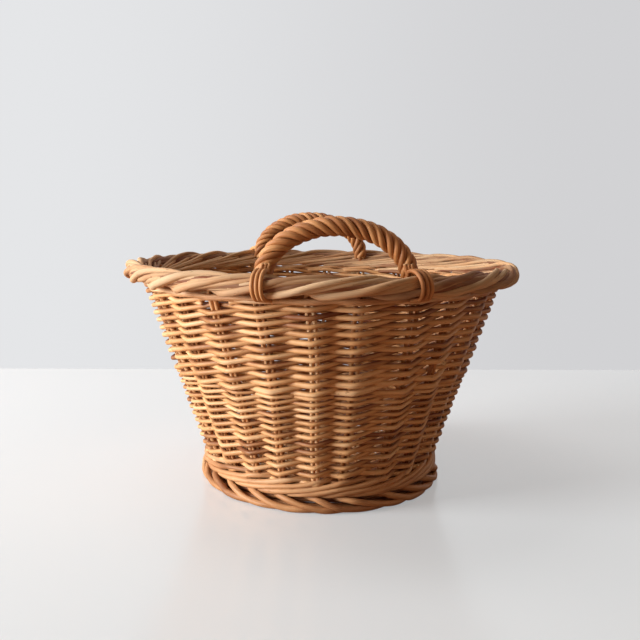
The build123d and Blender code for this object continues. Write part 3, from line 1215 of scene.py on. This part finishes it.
@dataclass
class RolledBorder(WovenPart):
    """Thick rolled border of the rim: strokes of three rods that wrap round a core.

    Attributes:
        height: Height of the middle of the roll.
        out: Level distance of its middle from the stake line.
        half_width: Half of its width to the middle of the rods.
        half_height: Half of its height to the middle of the rods.
        turn_length: Stakes that one whole turn of a stroke takes.
        stout: Diameters of the stroke's thick rod at its start and end.
        slender: Diameters of its thin rods at their start and end.
        first_turn: Angle in the section where a stroke starts, in degrees.
        last_turn: Angle where it ends. 0 is outward and 90 is up.
        tuck: Depth to which the start of a rod goes into the roll.
        tuck_share: Share of the rod over which it does.
        core_diameter: Diameter of the rods inside the roll.
        core_rods: Number of rods inside the roll.
        seed: Seed of the random draws.
    """

    SLOT = "willow_border"
    TONE_SPREAD = 0.35
    name: ClassVar[str] = "rolled_border"

    height: float
    out: float
    half_width: float
    half_height: float
    turn_length: float = 3.4
    stout: tuple[float, float] = (0.0070, 0.0040)
    slender: tuple[float, float] = (0.0056, 0.0032)
    first_turn: float = -125.0
    last_turn: float = 150.0
    tuck: float = 0.0030
    tuck_share: float = 0.12
    core_diameter: float = 0.0060
    core_rods: int = 8
    seed: int = 5

    def points(
        self, wall: WallForm, place: np.ndarray, turn: np.ndarray, lift: np.ndarray
    ) -> np.ndarray:
        """Points on the skin of the roll.

        Args:
            wall: The wall.
            place: Places round the wall, in stakes.
            turn: Angles in the section, in radians.
            lift: Distances out of the skin.

        Returns:
            The points.
        """
        sideways = (self.half_width + lift) * np.cos(turn)
        line = wall.beside(place, self.height, self.out + sideways)
        line[:, 2] += (self.half_height + lift) * np.sin(turn)
        return line

    def lay(self, bundle: RodBundle, wall: WallForm) -> None:
        """Lays the strokes and the rods inside the roll.

        Args:
            bundle: The bundle that they join.
            wall: The wall.
        """
        # Stakes on from the stroke's start, diameters, distance out of the skin and shift of tone; the
        # darker shift of the deepest rod is painted shade.
        rods = (
            (0.0, self.stout, 0.0010, 0.0),
            (0.38, self.slender, -0.0006, 0.0),
            (0.70, self.slender, -0.0018, -0.15),
        )
        for number in range(wall.stake_count):
            tone = bundle.rng.normal(0, 0.2)
            for step, diameters, lift, shade in rods:
                self.stroke(bundle, wall, number + step, diameters, lift, tone + shade)
        self.core(bundle, wall)

    def stroke(
        self,
        bundle: RodBundle,
        wall: WallForm,
        start: float,
        diameters: tuple[float, float],
        lift: float,
        tone: float,
    ) -> None:
        """Adds one rod of a stroke.

        Args:
            bundle: The bundle that it joins.
            wall: The wall.
            start: Place where it starts, in stakes.
            diameters: Diameters at its start and end.
            lift: Distance out of the skin of the roll.
            tone: Shift of tone.
        """
        rng = bundle.rng
        share = np.linspace(0, 1, 40)
        swept = self.last_turn - self.first_turn
        degrees = self.first_turn + swept * share
        span = self.turn_length * swept / 360
        place = start + rng.normal(0, 0.07) + span * share + drift(rng, share, 0.9, 0.09)
        butt, tip = diameters
        scale = rng.uniform(0.9, 1.1)
        diameter = (butt + (tip - butt) * share**1.3) * scale
        depth = (diameter - self.stout[0]) / 2 + lift + drift(rng, share, 0.7, 0.0005)
        tuck = self.tuck * np.clip(1 - share / self.tuck_share, 0, 1) ** 2
        line = self.points(wall, place, np.radians(degrees), depth - tuck)
        # Stakes on from the end of the stroke, distance inward and fall of the points of its tail.
        course = (
            (0.45, 0.0004, 0.0008),
            (1.0, 0.0036, 0.0038),
            (1.7, 0.0048, 0.0068),
            (rng.uniform(2.0, 2.7), 0.0046, 0.0088),
        )
        tail = [
            wall.beside(place[-1] + step, self.height - fall, -inward) for step, inward, fall in course
        ]
        line = np.vstack([line[:-1], smooth_line(np.vstack([line[-1:], *tail]), 4)])
        thin = np.linspace(tip, tip * 0.8, len(line) - len(diameter)) * scale
        radius = np.concatenate([diameter, thin]) / 2
        bundle.add(line, radius, UP, tone=tone + rng.normal(0, 0.12))

    def core(self, bundle: RodBundle, wall: WallForm) -> None:
        """Adds the rods that lie inside the roll.

        Args:
            bundle: The bundle that they join.
            wall: The wall.
        """
        for turn in np.linspace(0, FULL_TURN, self.core_rods, endpoint=False):
            place = np.linspace(0, wall.stake_count + 1.0, 260)
            angles = turn + drift(bundle.rng, place, 11.0, 0.4)
            lift = np.full_like(place, -self.half_height * 0.5)
            line = self.points(wall, place, angles, lift)
            # Painted shade on this hidden rod.
            bundle.add(line, self.core_diameter / 2, UP, tone=HIDDEN_ROD_SHADE)


# --- Base ---------------------------------------------------------------------------------


@dataclass
class Base:
    """Oval base: long sticks through split cross sticks, woven out to the stakes.

    Attributes:
        height: Height of the middle of the sticks.
        stick_diameter: Diameter of a stick.
        weaver_diameter: Diameter of a weaver.
        long_pitch: Distance between the long sticks in the slath.
        cross_pitch: Distance between the cross sticks.
        slath_half_width: Level distance from the middle at which the cross sticks fan out.
        slath_half_length: The same for the long sticks.
        opening: Distance by which the halves of a split stick bend apart round the long sticks.
        opening_share: Share of the slath's half width over which they are apart.
        half_offset: Distance of each half from the middle of its stick.
        half_share: Radius of a half, in diameters of the stick.
        tying: Places of the tying rounds, as shares of the spokes.
        tying_share: Thickness of the tying rods, as a share of a weaver's.
        woven: Places where the weaving starts and ends, as shares of the spokes.
        rounds: Rounds of weaving.
        seed: Seed of the random draws.
    """

    height: float
    stick_diameter: float = 0.0042
    weaver_diameter: float = 0.0031
    long_pitch: float = 0.0046
    cross_pitch: float = 0.0110
    slath_half_width: float = 0.0184
    slath_half_length: float = 0.0430
    opening: float = 0.0034
    opening_share: float = 0.55
    half_offset: float = 0.0006
    half_share: float = 0.36
    tying: tuple[float, ...] = (-0.08, -0.03, 0.02)
    tying_share: float = 0.9
    woven: tuple[float, float] = (0.07, 0.95)
    rounds: int = 25
    seed: int = 6

    def quarter(self, wall: WallForm) -> list[tuple[tuple[float, float], tuple[float, float]]]:
        """Spokes of one quarter, each as a start in the slath and an end at the stakes.

        Args:
            wall: The wall.

        Returns:
            The three of the cross sticks, then the two of the long sticks.
        """
        cross = [(self.slath_half_width, (number + 0.5) * self.cross_pitch) for number in range(3)]
        long = [((number + 0.5) * self.long_pitch, self.slath_half_length) for number in range(2)]
        spokes = []
        for start, gap in zip([*cross, *long], (1, 2, 3, 5, 4)):
            angle = FULL_TURN * gap / wall.stake_count
            end = (wall.base_half_width * math.cos(angle), wall.base_half_length * math.sin(angle))
            spokes.append((start, end))
        return spokes

    def spokes(self, wall: WallForm) -> np.ndarray:
        """Spokes of the whole base in order of angle: spoke, start or end, and x or y.

        Args:
            wall: The wall.

        Returns:
            The spokes, as one array.
        """
        sides = [(x, y) for x in (1, -1) for y in (1, -1)]
        every = [np.array(spoke) * side for side in sides for spoke in self.quarter(wall)]
        return np.array(sorted(every, key=lambda spoke: math.atan2(spoke[1][1], spoke[1][0])))

    def stick(
        self, start: np.ndarray, end: np.ndarray, mirror: tuple[int, int], bulge: float = 0.0
    ) -> np.ndarray:
        """Line of a stick from one side of the base to the other.

        Args:
            start: Where it leaves the slath on one side.
            end: Where it ends on that side.
            mirror: Factors of x and y that lead to its other side.
            bulge: Rise of its middle, where a split half passes over the long sticks, or fall.

        Returns:
            Points along it.
        """
        here = [end, start]
        if bulge:
            here.append(start * [self.opening_share, 1])
        flat = np.array([*here, *(point * mirror for point in reversed(here))])
        rise = np.zeros(len(flat))
        if bulge:
            rise[2:4] = bulge
        return smooth_line(np.column_stack([flat, self.height + rise]), 6)

    def build(self, wall: WallForm, finish: bpy.types.Material) -> None:
        """Makes the base.

        Args:
            wall: The wall.
            finish: Material of the rods.
        """
        quarter = self.quarter(wall)
        for number in range(6):
            row = number - 2.5
            start, end = np.array(quarter[int(abs(row))]) * (1, math.copysign(1, row))
            bundle = RodBundle(8, self.seed + number)
            for half in (1, -1):
                line = self.stick(start, end, (-1, 1), half * self.opening)
                line[:, 2] += half * self.half_offset
                bundle.add(line, self.stick_diameter * self.half_share, UP, last=RodEnd.CUT)
            name = f"cross_stick_{number + 1}"
            self.finish_piece(bundle, name, finish, f"base_{name}")
        for number in range(4):
            row = number - 1.5
            start, end = np.array(quarter[3 + int(abs(row))]) * (math.copysign(1, row), 1)
            bundle = RodBundle(8, self.seed + 10 + number)
            line = self.stick(start, end, (1, -1))
            bundle.add(line, self.stick_diameter / 2, UP, last=RodEnd.CUT)
            name = f"long_stick_{number + 1}"
            self.finish_piece(bundle, name, finish, f"base_{name}")
        spokes = self.spokes(wall)
        tying = RodBundle(7, self.seed + 20)
        self.weave(tying, spokes, self.tying, self.weaver_diameter * self.tying_share)
        self.finish_piece(tying, "tying_rods", finish, "base_tying_rounds")
        weaving = RodBundle(7, self.seed + 21, tone_spread=0.6)
        self.weave(weaving, spokes, np.linspace(*self.woven, self.rounds), self.weaver_diameter)
        self.finish_piece(weaving, "base_weave", finish, "base_weaving")

    def weave(self, bundle: RodBundle, spokes: np.ndarray, shares: np.ndarray, diameter: float) -> None:
        """Adds rounds, each over one spoke and under the next.

        Args:
            bundle: The bundle that they join.
            spokes: The spokes.
            shares: How far out along the spokes each round lies.
            diameter: Diameter of the rods.
        """
        bite = 0.0004  # depth to which the rods press into the sticks
        swing = (self.stick_diameter + diameter) / 2 - bite
        count = len(spokes)
        for number, share in enumerate(shares):
            crossings = spokes[:, 0] + share * (spokes[:, 1] - spokes[:, 0])
            ring = crossings[np.arange(count + 4) % count]
            line = smooth_line(np.column_stack([ring, np.zeros(count + 4)]), 5)[5:-10]
            turns = np.arange(len(line)) / 5 + 1 + number
            line[:, 2] = self.height + swing * np.cos(np.pi * turns)
            bundle.add(line, diameter / 2, UP, tone=bundle.rng.normal(0, 0.2))

    @staticmethod
    def finish_piece(bundle: RodBundle, name: str, finish: bpy.types.Material, node: str) -> None:
        """Builds a bundle and lets it stand for a node."""
        fit_piece(bundle.build(name), finish, [node])


# --- Handles ------------------------------------------------------------------------------


@dataclass
class Handle:
    """Bow over one end of the rim, roped with rods and lashed to the border.

    The shape is that of the near end; the far one is the same turned half round.

    Attributes:
        end: End of the basket.
        left: Level place of its left leg.
        right: Level place of its right leg.
        spring: Height at which the arch starts.
        rise: Rise of the arch.
        foot: Height at which the legs end.
        rope_rods: Rods that are roped round the bow.
        rope_diameter: Diameter of such a rod.
        bow_diameter: Diameter of the bow.
        turns: Turns of the roping from foot to foot.
        roped: Shares of the bow's length where the roping starts and ends.
        gather: Share of that length over which its rods close in on the bow at each end.
        gathered: Their distance from the bow's middle there, as a share of the usual one.
        lashing_rods: Rods in each lashing.
        lashing_diameter: Diameter of the rods that lash it down.
        lash_lean: Stakes from the left leg and from the right one to the top and bottom of a lashing.
        lash_turns: Angles in the border's section of the points of a lashing, in degrees.
        lash_start: Shares of the bow's length from the foot to the points where a lashing starts.
        lash_lift: Distance of those points in front of the middle of the bow.
        lash_spread: Distance along X between lashing rods there, for rods one stake apart below.
        lash_end: Heights and distances out of the points where it goes into the wall.
        seed: Seed of the random draws.
    """

    end: End
    left: tuple[float, float]
    right: tuple[float, float]
    spring: float
    rise: float
    foot: float
    rope_rods: int = 5
    rope_diameter: float = 0.0052
    bow_diameter: float = 0.0064
    turns: float = 4.7
    roped: tuple[float, float] = (0.055, 0.945)
    gather: float = 0.06
    gathered: float = 0.72
    lashing_rods: int = 3
    lashing_diameter: float = 0.0035
    lash_lean: tuple[tuple[float, float], ...] = ((0.14, 0.15), (0.0, 0.10))
    lash_turns: tuple[float, ...] = (112, 88, 62, 36, 10, -18, -46, -72)
    lash_start: tuple[float, float] = (0.14, 0.09)
    lash_lift: float = 0.0075
    lash_spread: float = 0.035
    lash_end: tuple[tuple[float, float], ...] = ((0.1905, 0.0050), (0.1850, -0.0020))
    seed: int = 7

    def __post_init__(self) -> None:
        """Works out the line of the bow, evenly spaced from its left foot to its right."""
        left, right = np.array(self.left), np.array(self.right)
        turn = np.linspace(0, np.pi, 120)[:, None]
        level = (left + right) / 2 - (right - left) / 2 * np.cos(turn)
        arch = np.column_stack([level, self.spring + self.rise * np.sin(turn[:, 0])])
        feet = [np.array([[*leg, self.foot]]) for leg in (left, right)]
        path = np.vstack([feet[0], arch, feet[1]])
        reach = np.concatenate([[0.0], np.cumsum(np.linalg.norm(np.diff(path, axis=0), axis=1))])
        even = np.linspace(0, reach[-1], 161)
        self.path = np.column_stack([np.interp(even, reach, path[:, axis]) for axis in range(3)])
        self.across = unit(np.array([left[1] - right[1], right[0] - left[0], 0.0]))

    def arch(self, share: np.ndarray) -> np.ndarray:
        """Middle of the bow, from the left foot at 0 to the right foot at 1."""
        even = np.linspace(0, 1, len(self.path))
        return np.column_stack([np.interp(share, even, self.path[:, axis]) for axis in range(3)])

    def turned(self, line: np.ndarray) -> np.ndarray:
        """Points carried round to the far end, when that is the handle's end."""
        return line * [-1, -1, 1] if self.end is End.FAR else line

    def build(self, wall: WallForm, border: RolledBorder, finish: bpy.types.Material) -> None:
        """Makes the handle's pieces.

        Args:
            wall: The wall.
            border: The border that the handle is lashed to.
            finish: Material of the rods.
        """
        bow = RodBundle(10, self.seed)
        bow.add(self.turned(self.path), self.bow_diameter / 2, self.across, last=RodEnd.CUT)
        rope = RodBundle(12, self.seed + 1, tone_spread=0.45)
        self.rope(rope)
        left = RodBundle(10, self.seed + 2, tone_spread=0.5)
        right = RodBundle(10, self.seed + 3, tone_spread=0.5)
        self.lash(left, wall, border, 0)
        self.lash(right, wall, border, 1)
        side = self.end.value
        pieces = (
            (bow, "bow_rod", "bow"),
            (rope, "roping", "rope"),
            (left, "left_lashing_rods", "left_lashing"),
            (right, "right_lashing_rods", "right_lashing"),
        )
        for bundle, name, node in pieces:
            piece = bundle.build(f"{side}_{name}")
            fit_piece(piece, finish, [f"{side}_handle_{node}"])

    def rope(self, bundle: RodBundle) -> None:
        """Ropes the rods round the bow.

        Args:
            bundle: The bundle that they join.
        """
        start, end = self.roped
        share = np.linspace(start, end, 190)
        middle = self.arch(share)
        along = unit(np.gradient(middle, axis=0))
        outward = unit(np.cross(along, self.across))
        bite = 0.0002  # depth to which the rods press into the bow
        reach = (self.bow_diameter + self.rope_diameter) / 2 - bite
        for rod in range(self.rope_rods):
            turn = -FULL_TURN * (self.turns * share + rod / self.rope_rods)
            turn += drift(bundle.rng, share, 0.5, 0.12)
            free = np.clip(np.minimum(share - start, end - share) / self.gather, 0.0, 1.0)
            lay = reach * (self.gathered + (1 - self.gathered) * free)
            lift = outward * np.cos(turn)[:, None] + self.across * np.sin(turn)[:, None]
            line = middle + lift * lay[:, None]
            radius = self.rope_diameter / 2 * bundle.rng.uniform(0.93, 1.07)
            bundle.add(self.turned(line), radius, self.across, last=RodEnd.CUT)

    def lash(self, bundle: RodBundle, wall: WallForm, border: RolledBorder, foot: int) -> None:
        """Loops a few rods from the foot of the rope over the border and into the wall.

        Args:
            bundle: The bundle that they join.
            wall: The wall.
            border: The border.
            foot: 0 for the left foot, 1 for the right.
        """
        leg = self.arch(np.array([float(foot)]))[0]
        stake = FULL_TURN / wall.stake_count
        width, length = wall.half_axes(border.height)
        centre = math.atan2(leg[1] / length, leg[0] / width) % FULL_TURN / stake - 0.5
        radius = self.lashing_diameter / 2
        turns = np.radians(self.lash_turns)
        lean = np.linspace(*self.lash_lean[foot], len(turns))
        bite = 0.0006  # depth to which the rods press into the border
        skin = radius + border.stout[0] / 2 - bite
        held = self.arch(np.abs(foot - np.array(self.lash_start)))
        heights, outs = np.array(self.lash_end).T
        facing = wall.along(centre, border.height)
        for rod in range(self.lashing_rods):
            number = rod - (self.lashing_rods - 1) / 2
            shift = number * self.lashing_diameter / wall.gap(border.height)
            high = held + np.array([shift * self.lash_spread, -self.lash_lift, 0])
            over = border.points(wall, centre + shift + lean, turns, np.full(len(turns), skin))
            tuck = wall.place(np.full(len(heights), centre + shift + lean[-1]), heights, outs)
            line = smooth_line(np.vstack([high, over, tuck]), 5)
            bundle.add(self.turned(line), radius, facing, last=RodEnd.CUT, tone=0.4)


# --- Setting ------------------------------------------------------------------------------


@dataclass
class Studio:
    """Table, wall behind, lamps and camera.

    Attributes:
        camera_distance: Level distance of the camera from the middle of the basket.
        camera_height: Height of the camera.
        camera_turn: Angle of the camera round the basket, in degrees.
        camera_pitch: Angle of its view below the level, in degrees.
        camera_roll: Tilt of the camera about its view, in degrees.
        aim_turn: Angle of its view to the side of the basket's middle, in degrees.
        camera_shift: Distance of the camera to the right.
        lens: Focal length in millimetres.
        wall_distance: Distance of the back wall behind the basket's middle.
        wall_turn: Angle of the back wall, in degrees.
    """

    camera_distance: float = 0.879
    camera_height: float = 0.2646
    camera_turn: float = -5.0
    camera_pitch: float = 7.389
    camera_roll: float = 0.48
    aim_turn: float = 0.144
    camera_shift: float = 0.0017
    lens: float = 50.0
    wall_distance: float = 0.541
    wall_turn: float = -3.0

    def build(self) -> None:
        """Sets the whole studio."""
        self.place_camera()
        self.lay_table()
        self.hang_lamps()
        bpy.context.scene.view_settings.view_transform = "Standard"

    def place_camera(self) -> None:
        """Puts the camera at its place."""
        data = bpy.data.cameras.new("camera")
        data.lens = self.lens
        data.sensor_width = 36.0
        camera = bpy.data.objects.new("camera", data)
        turn = math.radians(self.camera_turn)
        x = self.camera_distance * math.sin(turn) + self.camera_shift
        y = -self.camera_distance * math.cos(turn)
        heading = Matrix.Rotation(turn + math.radians(self.aim_turn), 4, "Z")
        tilt = Matrix.Rotation(math.radians(90 - self.camera_pitch), 4, "X")
        roll = Matrix.Rotation(math.radians(self.camera_roll), 4, "Z")
        camera.matrix_world = Matrix.Translation((x, y, self.camera_height)) @ heading @ tilt @ roll
        bpy.context.scene.collection.objects.link(camera)
        bpy.context.scene.camera = camera

    def lay_table(self) -> None:
        """Makes the glossy pale table and the wall behind it."""
        half = 3.0
        corners = [(-half, -half, 0), (half, -half, 0), (half, half, 0), (-half, half, 0)]
        table = self.sheet("table", corners)
        table.data.materials.append(self.table_finish())
        corners = [(-half, 0, 0), (half, 0, 0), (half, 0, half), (-half, 0, half)]
        wall = self.sheet("back_wall", corners)
        place = Matrix.Translation((0, self.wall_distance, 0))
        wall.matrix_world = place @ Matrix.Rotation(math.radians(self.wall_turn), 4, "Z")
        wall.data.materials.append(self.wall_finish())

    @staticmethod
    def sheet(name: str, corners: list[tuple]) -> bpy.types.Object:
        """Makes one flat sheet of the setting.

        Args:
            name: Name of the sheet.
            corners: Its four corners.

        Returns:
            The new object, linked to the scene.
        """
        mesh = bpy.data.meshes.new(name)
        mesh.from_pydata(corners, [], [(0, 1, 2, 3)])
        piece = bpy.data.objects.new(name, mesh)
        bpy.context.scene.collection.objects.link(piece)
        return piece

    @staticmethod
    def table_finish() -> bpy.types.Material:
        """Makes the finish of the table, glossy from above and clear from below.

        Returns:
            The material.
        """
        material = bpy.data.materials.new("pale table")
        board = NodeBoard.emptied(material)
        seen = board.put("ShaderNodeLightPath").outputs["Is Camera Ray"]
        # Painted warm light: to every ray but the camera's the table is warm brown, so the light it
        # bounces onto the basket's shaded side is warm.
        colour = board.blend(seen, linear((176, 134, 104)), linear((186, 190, 192)))
        sheen = {"Base Color": colour, "Roughness": 0.2, "Specular IOR Level": 0.35}
        gloss = board.put("ShaderNodeBsdfPrincipled", sheen)
        strength = board.maths("MULTIPLY", seen, 0.68)
        glow = board.put("ShaderNodeEmission", {"Color": colour, "Strength": strength})
        top = board.put("ShaderNodeAddShader", {0: gloss.outputs[0], 1: glow.outputs[0]})
        behind = board.put("ShaderNodeNewGeometry").outputs["Backfacing"]
        clear = board.put("ShaderNodeBsdfTransparent")
        both = board.mix(behind, top, clear)
        board.put("ShaderNodeOutputMaterial", {"Surface": both.outputs[0]})
        return material

    @staticmethod
    def wall_finish() -> bpy.types.Material:
        """Makes the finish of the wall, pale from in front and clear from behind.

        Returns:
            The material.
        """
        material = bpy.data.materials.new("pale wall")
        board = NodeBoard.emptied(material)
        geometry = board.put("ShaderNodeNewGeometry").outputs
        # Painted falloff of light: the backdrop glows paler at the left, towards the key lamp, and
        # darker at the right.
        across = board.put("ShaderNodeSeparateXYZ", {0: geometry["Position"]}).outputs["X"]
        share = board.ranged(across, -0.45, 0.50)
        colour = board.blend(share, linear((229, 230, 232)), linear((210, 210, 212)))
        light = board.put("ShaderNodeLightPath").outputs
        seen = board.maths("ADD", light["Is Camera Ray"], light["Is Glossy Ray"], clamp=True)
        glow = board.put("ShaderNodeEmission", {"Color": colour, "Strength": 1.0})
        # Painted shade: to every ray but the camera's and glossy ones the wall is a dim warm brown, so
        # it bounces less and warmer light onto the basket.
        matt = board.put("ShaderNodeBsdfDiffuse", {"Color": linear((160, 126, 100))})
        front = board.mix(seen, matt, glow)
        clear = board.put("ShaderNodeBsdfTransparent")
        both = board.mix(geometry["Backfacing"], front, clear)
        board.put("ShaderNodeOutputMaterial", {"Surface": both.outputs[0]})
        return material

    def hang_lamps(self) -> None:
        """Hangs a large lamp at the left and weaker ones above, and sets a low even light all round."""
        self.lamp("key_lamp", (-2.40, -0.50, 0.62), size=1.2, power=104.0)
        self.lamp("top_lamp", (-0.5, 0.6, 1.4), size=1.2, power=16.0)
        self.lamp("fill_lamp", (0.6, -1.1, 1.3), size=0.9, power=2.6, colour=(1.0, 0.66, 0.40))
        world = bpy.data.worlds.new("room")
        board = NodeBoard.emptied(world)
        light = board.put("ShaderNodeLightPath").outputs
        mirrored = board.maths("ADD", light["Is Glossy Ray"], light["Is Transmission Ray"], clamp=True)
        seen = board.maths("ADD", light["Is Camera Ray"], mirrored, clamp=True)
        warm = board.put("ShaderNodeBackground", {"Color": (1.0, 0.50, 0.23, 1.0), "Strength": 0.05})
        pale = board.put("ShaderNodeBackground", {"Color": linear((222, 223, 225)), "Strength": 1.0})
        both = board.mix(seen, warm, pale)
        board.put("ShaderNodeOutputWorld", {"Surface": both.outputs[0]})
        bpy.context.scene.world = world

    @staticmethod
    def lamp(
        name: str, place: tuple, size: float, power: float, colour: COLOUR = (1.0, 1.0, 1.0)
    ) -> None:
        """Hangs a square lamp that faces the basket.

        Args:
            name: Name of the lamp.
            place: Its place.
            size: Length of its sides.
            power: Its power, in watts.
            colour: Colour of its light.
        """
        data = bpy.data.lights.new(name, "AREA")
        data.shape = "SQUARE"
        data.size = size
        data.energy = power
        data.color = colour
        lamp = bpy.data.objects.new(name, data)
        aim = (Vector((0, 0, 0.12)) - Vector(place)).to_track_quat("-Z", "Y")
        lamp.matrix_world = Matrix.Translation(place) @ aim.to_matrix().to_4x4()
        bpy.context.scene.collection.objects.link(lamp)


def node_names(stem: str, first: int, last: int, digits: int = 1) -> list[str]:
    """Names of a run of numbered nodes."""
    return [f"{stem}_{number:0{digits}d}" for number in range(first, last + 1)]


def span_of(first: str, last: str) -> tuple[float, float]:
    """Lowest and highest point of two nodes of the frame together."""
    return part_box(first)[0][2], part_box(last)[1][2]


def weave_wall(wall: WallForm, grain: bpy.types.NodeTree) -> None:
    """Makes the siding, the wales and the stakes.

    Args:
        wall: The wall.
        grain: The rod grain group.
    """
    siding = WillowFinish("siding willow").material(grain)
    wale = WillowFinish("wale willow", pale=(230, 193, 150), honey=(208, 156, 108)).material(grain)
    stake = WillowFinish("stake willow", honey=(206, 146, 92)).material(grain)
    bottom, join = span_of("siding_course_01", "siding_course_09")
    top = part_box("siding_course_18")[1][2]
    # The bands reach a little past the edges of their nodes, so that they close up with the wales.
    Siding(
        "lower_siding",
        bottom=bottom - 0.0034,
        top=join + 0.0014,
        strokes=25,
        butt=0.0047,
        tip=0.0035,
        squash_up=0.66,
        seed=31,
    ).build(wall, siding, node_names("siding_course", 1, 9, 2))
    Siding(
        "upper_siding",
        bottom=join + 0.0056,
        top=top + 0.0055,
        strokes=22,
        butt=0.0052,
        tip=0.0045,
        squash_up=0.86,
        broken=((15, 0.184), (20, 0.128)),
        seed=32,
    ).build(wall, siding, node_names("siding_course", 10, 18, 2))
    low, high = span_of("upsett_kick_rod", "upsett_wale_rod_2")
    Upsett(low, high).build(wall, wale, ["upsett_kick_rod", *node_names("upsett_wale_rod", 1, 2)])
    low, high = span_of("top_wale_rod_1", "top_wale_rod_2")
    Waling(
        "top_waling",
        bottom=low + 0.0058,
        top=high,
        rounds=1,
        diameter=0.0042,
        first_stake=11.0,
        seed=22,
    ).build(wall, wale, node_names("top_wale_rod", 1, 2))
    Stakes(high - 0.001, wall.foot_height - 0.001).build(wall, stake)


def main() -> None:
    """Builds the basket and its setting."""
    logging.basicConfig(level=logging.INFO, format="%(message)s")
    grain = rod_grain_group()
    border_finish = WillowFinish(
        "border willow", pale=(240, 209, 168), honey=(216, 170, 124), weathering=0.45, polish=0.5
    ).material(grain)
    foot_finish = WillowFinish(
        "foot willow", pale=(224, 180, 134), honey=(198, 144, 96)
    ).material(grain)
    base_finish = WillowFinish("base willow").material(grain)
    handle_finish = WillowFinish(
        "handle willow", pale=(226, 170, 112), honey=(184, 122, 70), weathering=0.1, polish=0.4
    ).material(grain)

    foot_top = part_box("foot_strand_1")[1][2]
    border_low, border_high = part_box("border_strand_1")
    wall = WallForm(foot_top + 0.0002, (border_low[2] + border_high[2]) / 2)
    weave_wall(wall, grain)
    FootBorder(foot_top).build(wall, foot_finish, node_names("foot_strand", 1, 3))

    margin = 0.0014  # keeps the stoutest rods inside the frame's box
    outer = max(border_high[0], -border_low[0]) - wall.rim_half_width - margin
    skin = RolledBorder.stout[0] / 2
    half_width = 0.0108
    swell = 0.0008  # how much the roll stands over the rope of the frame, above and below
    half_height = (border_high[2] - border_low[2]) / 2 + swell
    border = RolledBorder(wall.rim_height, outer - half_width, half_width - skin, half_height - skin)
    back_rods = ["border_back_rod_lower", "border_back_rod_upper"]
    border.build(wall, border_finish, [*node_names("border_strand", 1, 4), *back_rods])
    base_low, base_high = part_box("base_weaving")
    Base((base_low[2] + base_high[2]) / 2).build(wall, base_finish)

    bow_low, bow_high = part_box("near_handle_bow")
    radius = 0.003
    spring = wall.rim_height + 0.003
    for end in End:
        Handle(
            end,
            left=(bow_low[0] + radius, bow_high[1] - radius),
            right=(bow_high[0] - radius, bow_low[1] + radius),
            spring=spring,
            rise=bow_high[2] - radius - spring,
            foot=bow_low[2],
            seed=70 if end is End.NEAR else 80,
        ).build(wall, border, handle_finish)
    Studio().build()


if __name__ == "__main__":
    main()
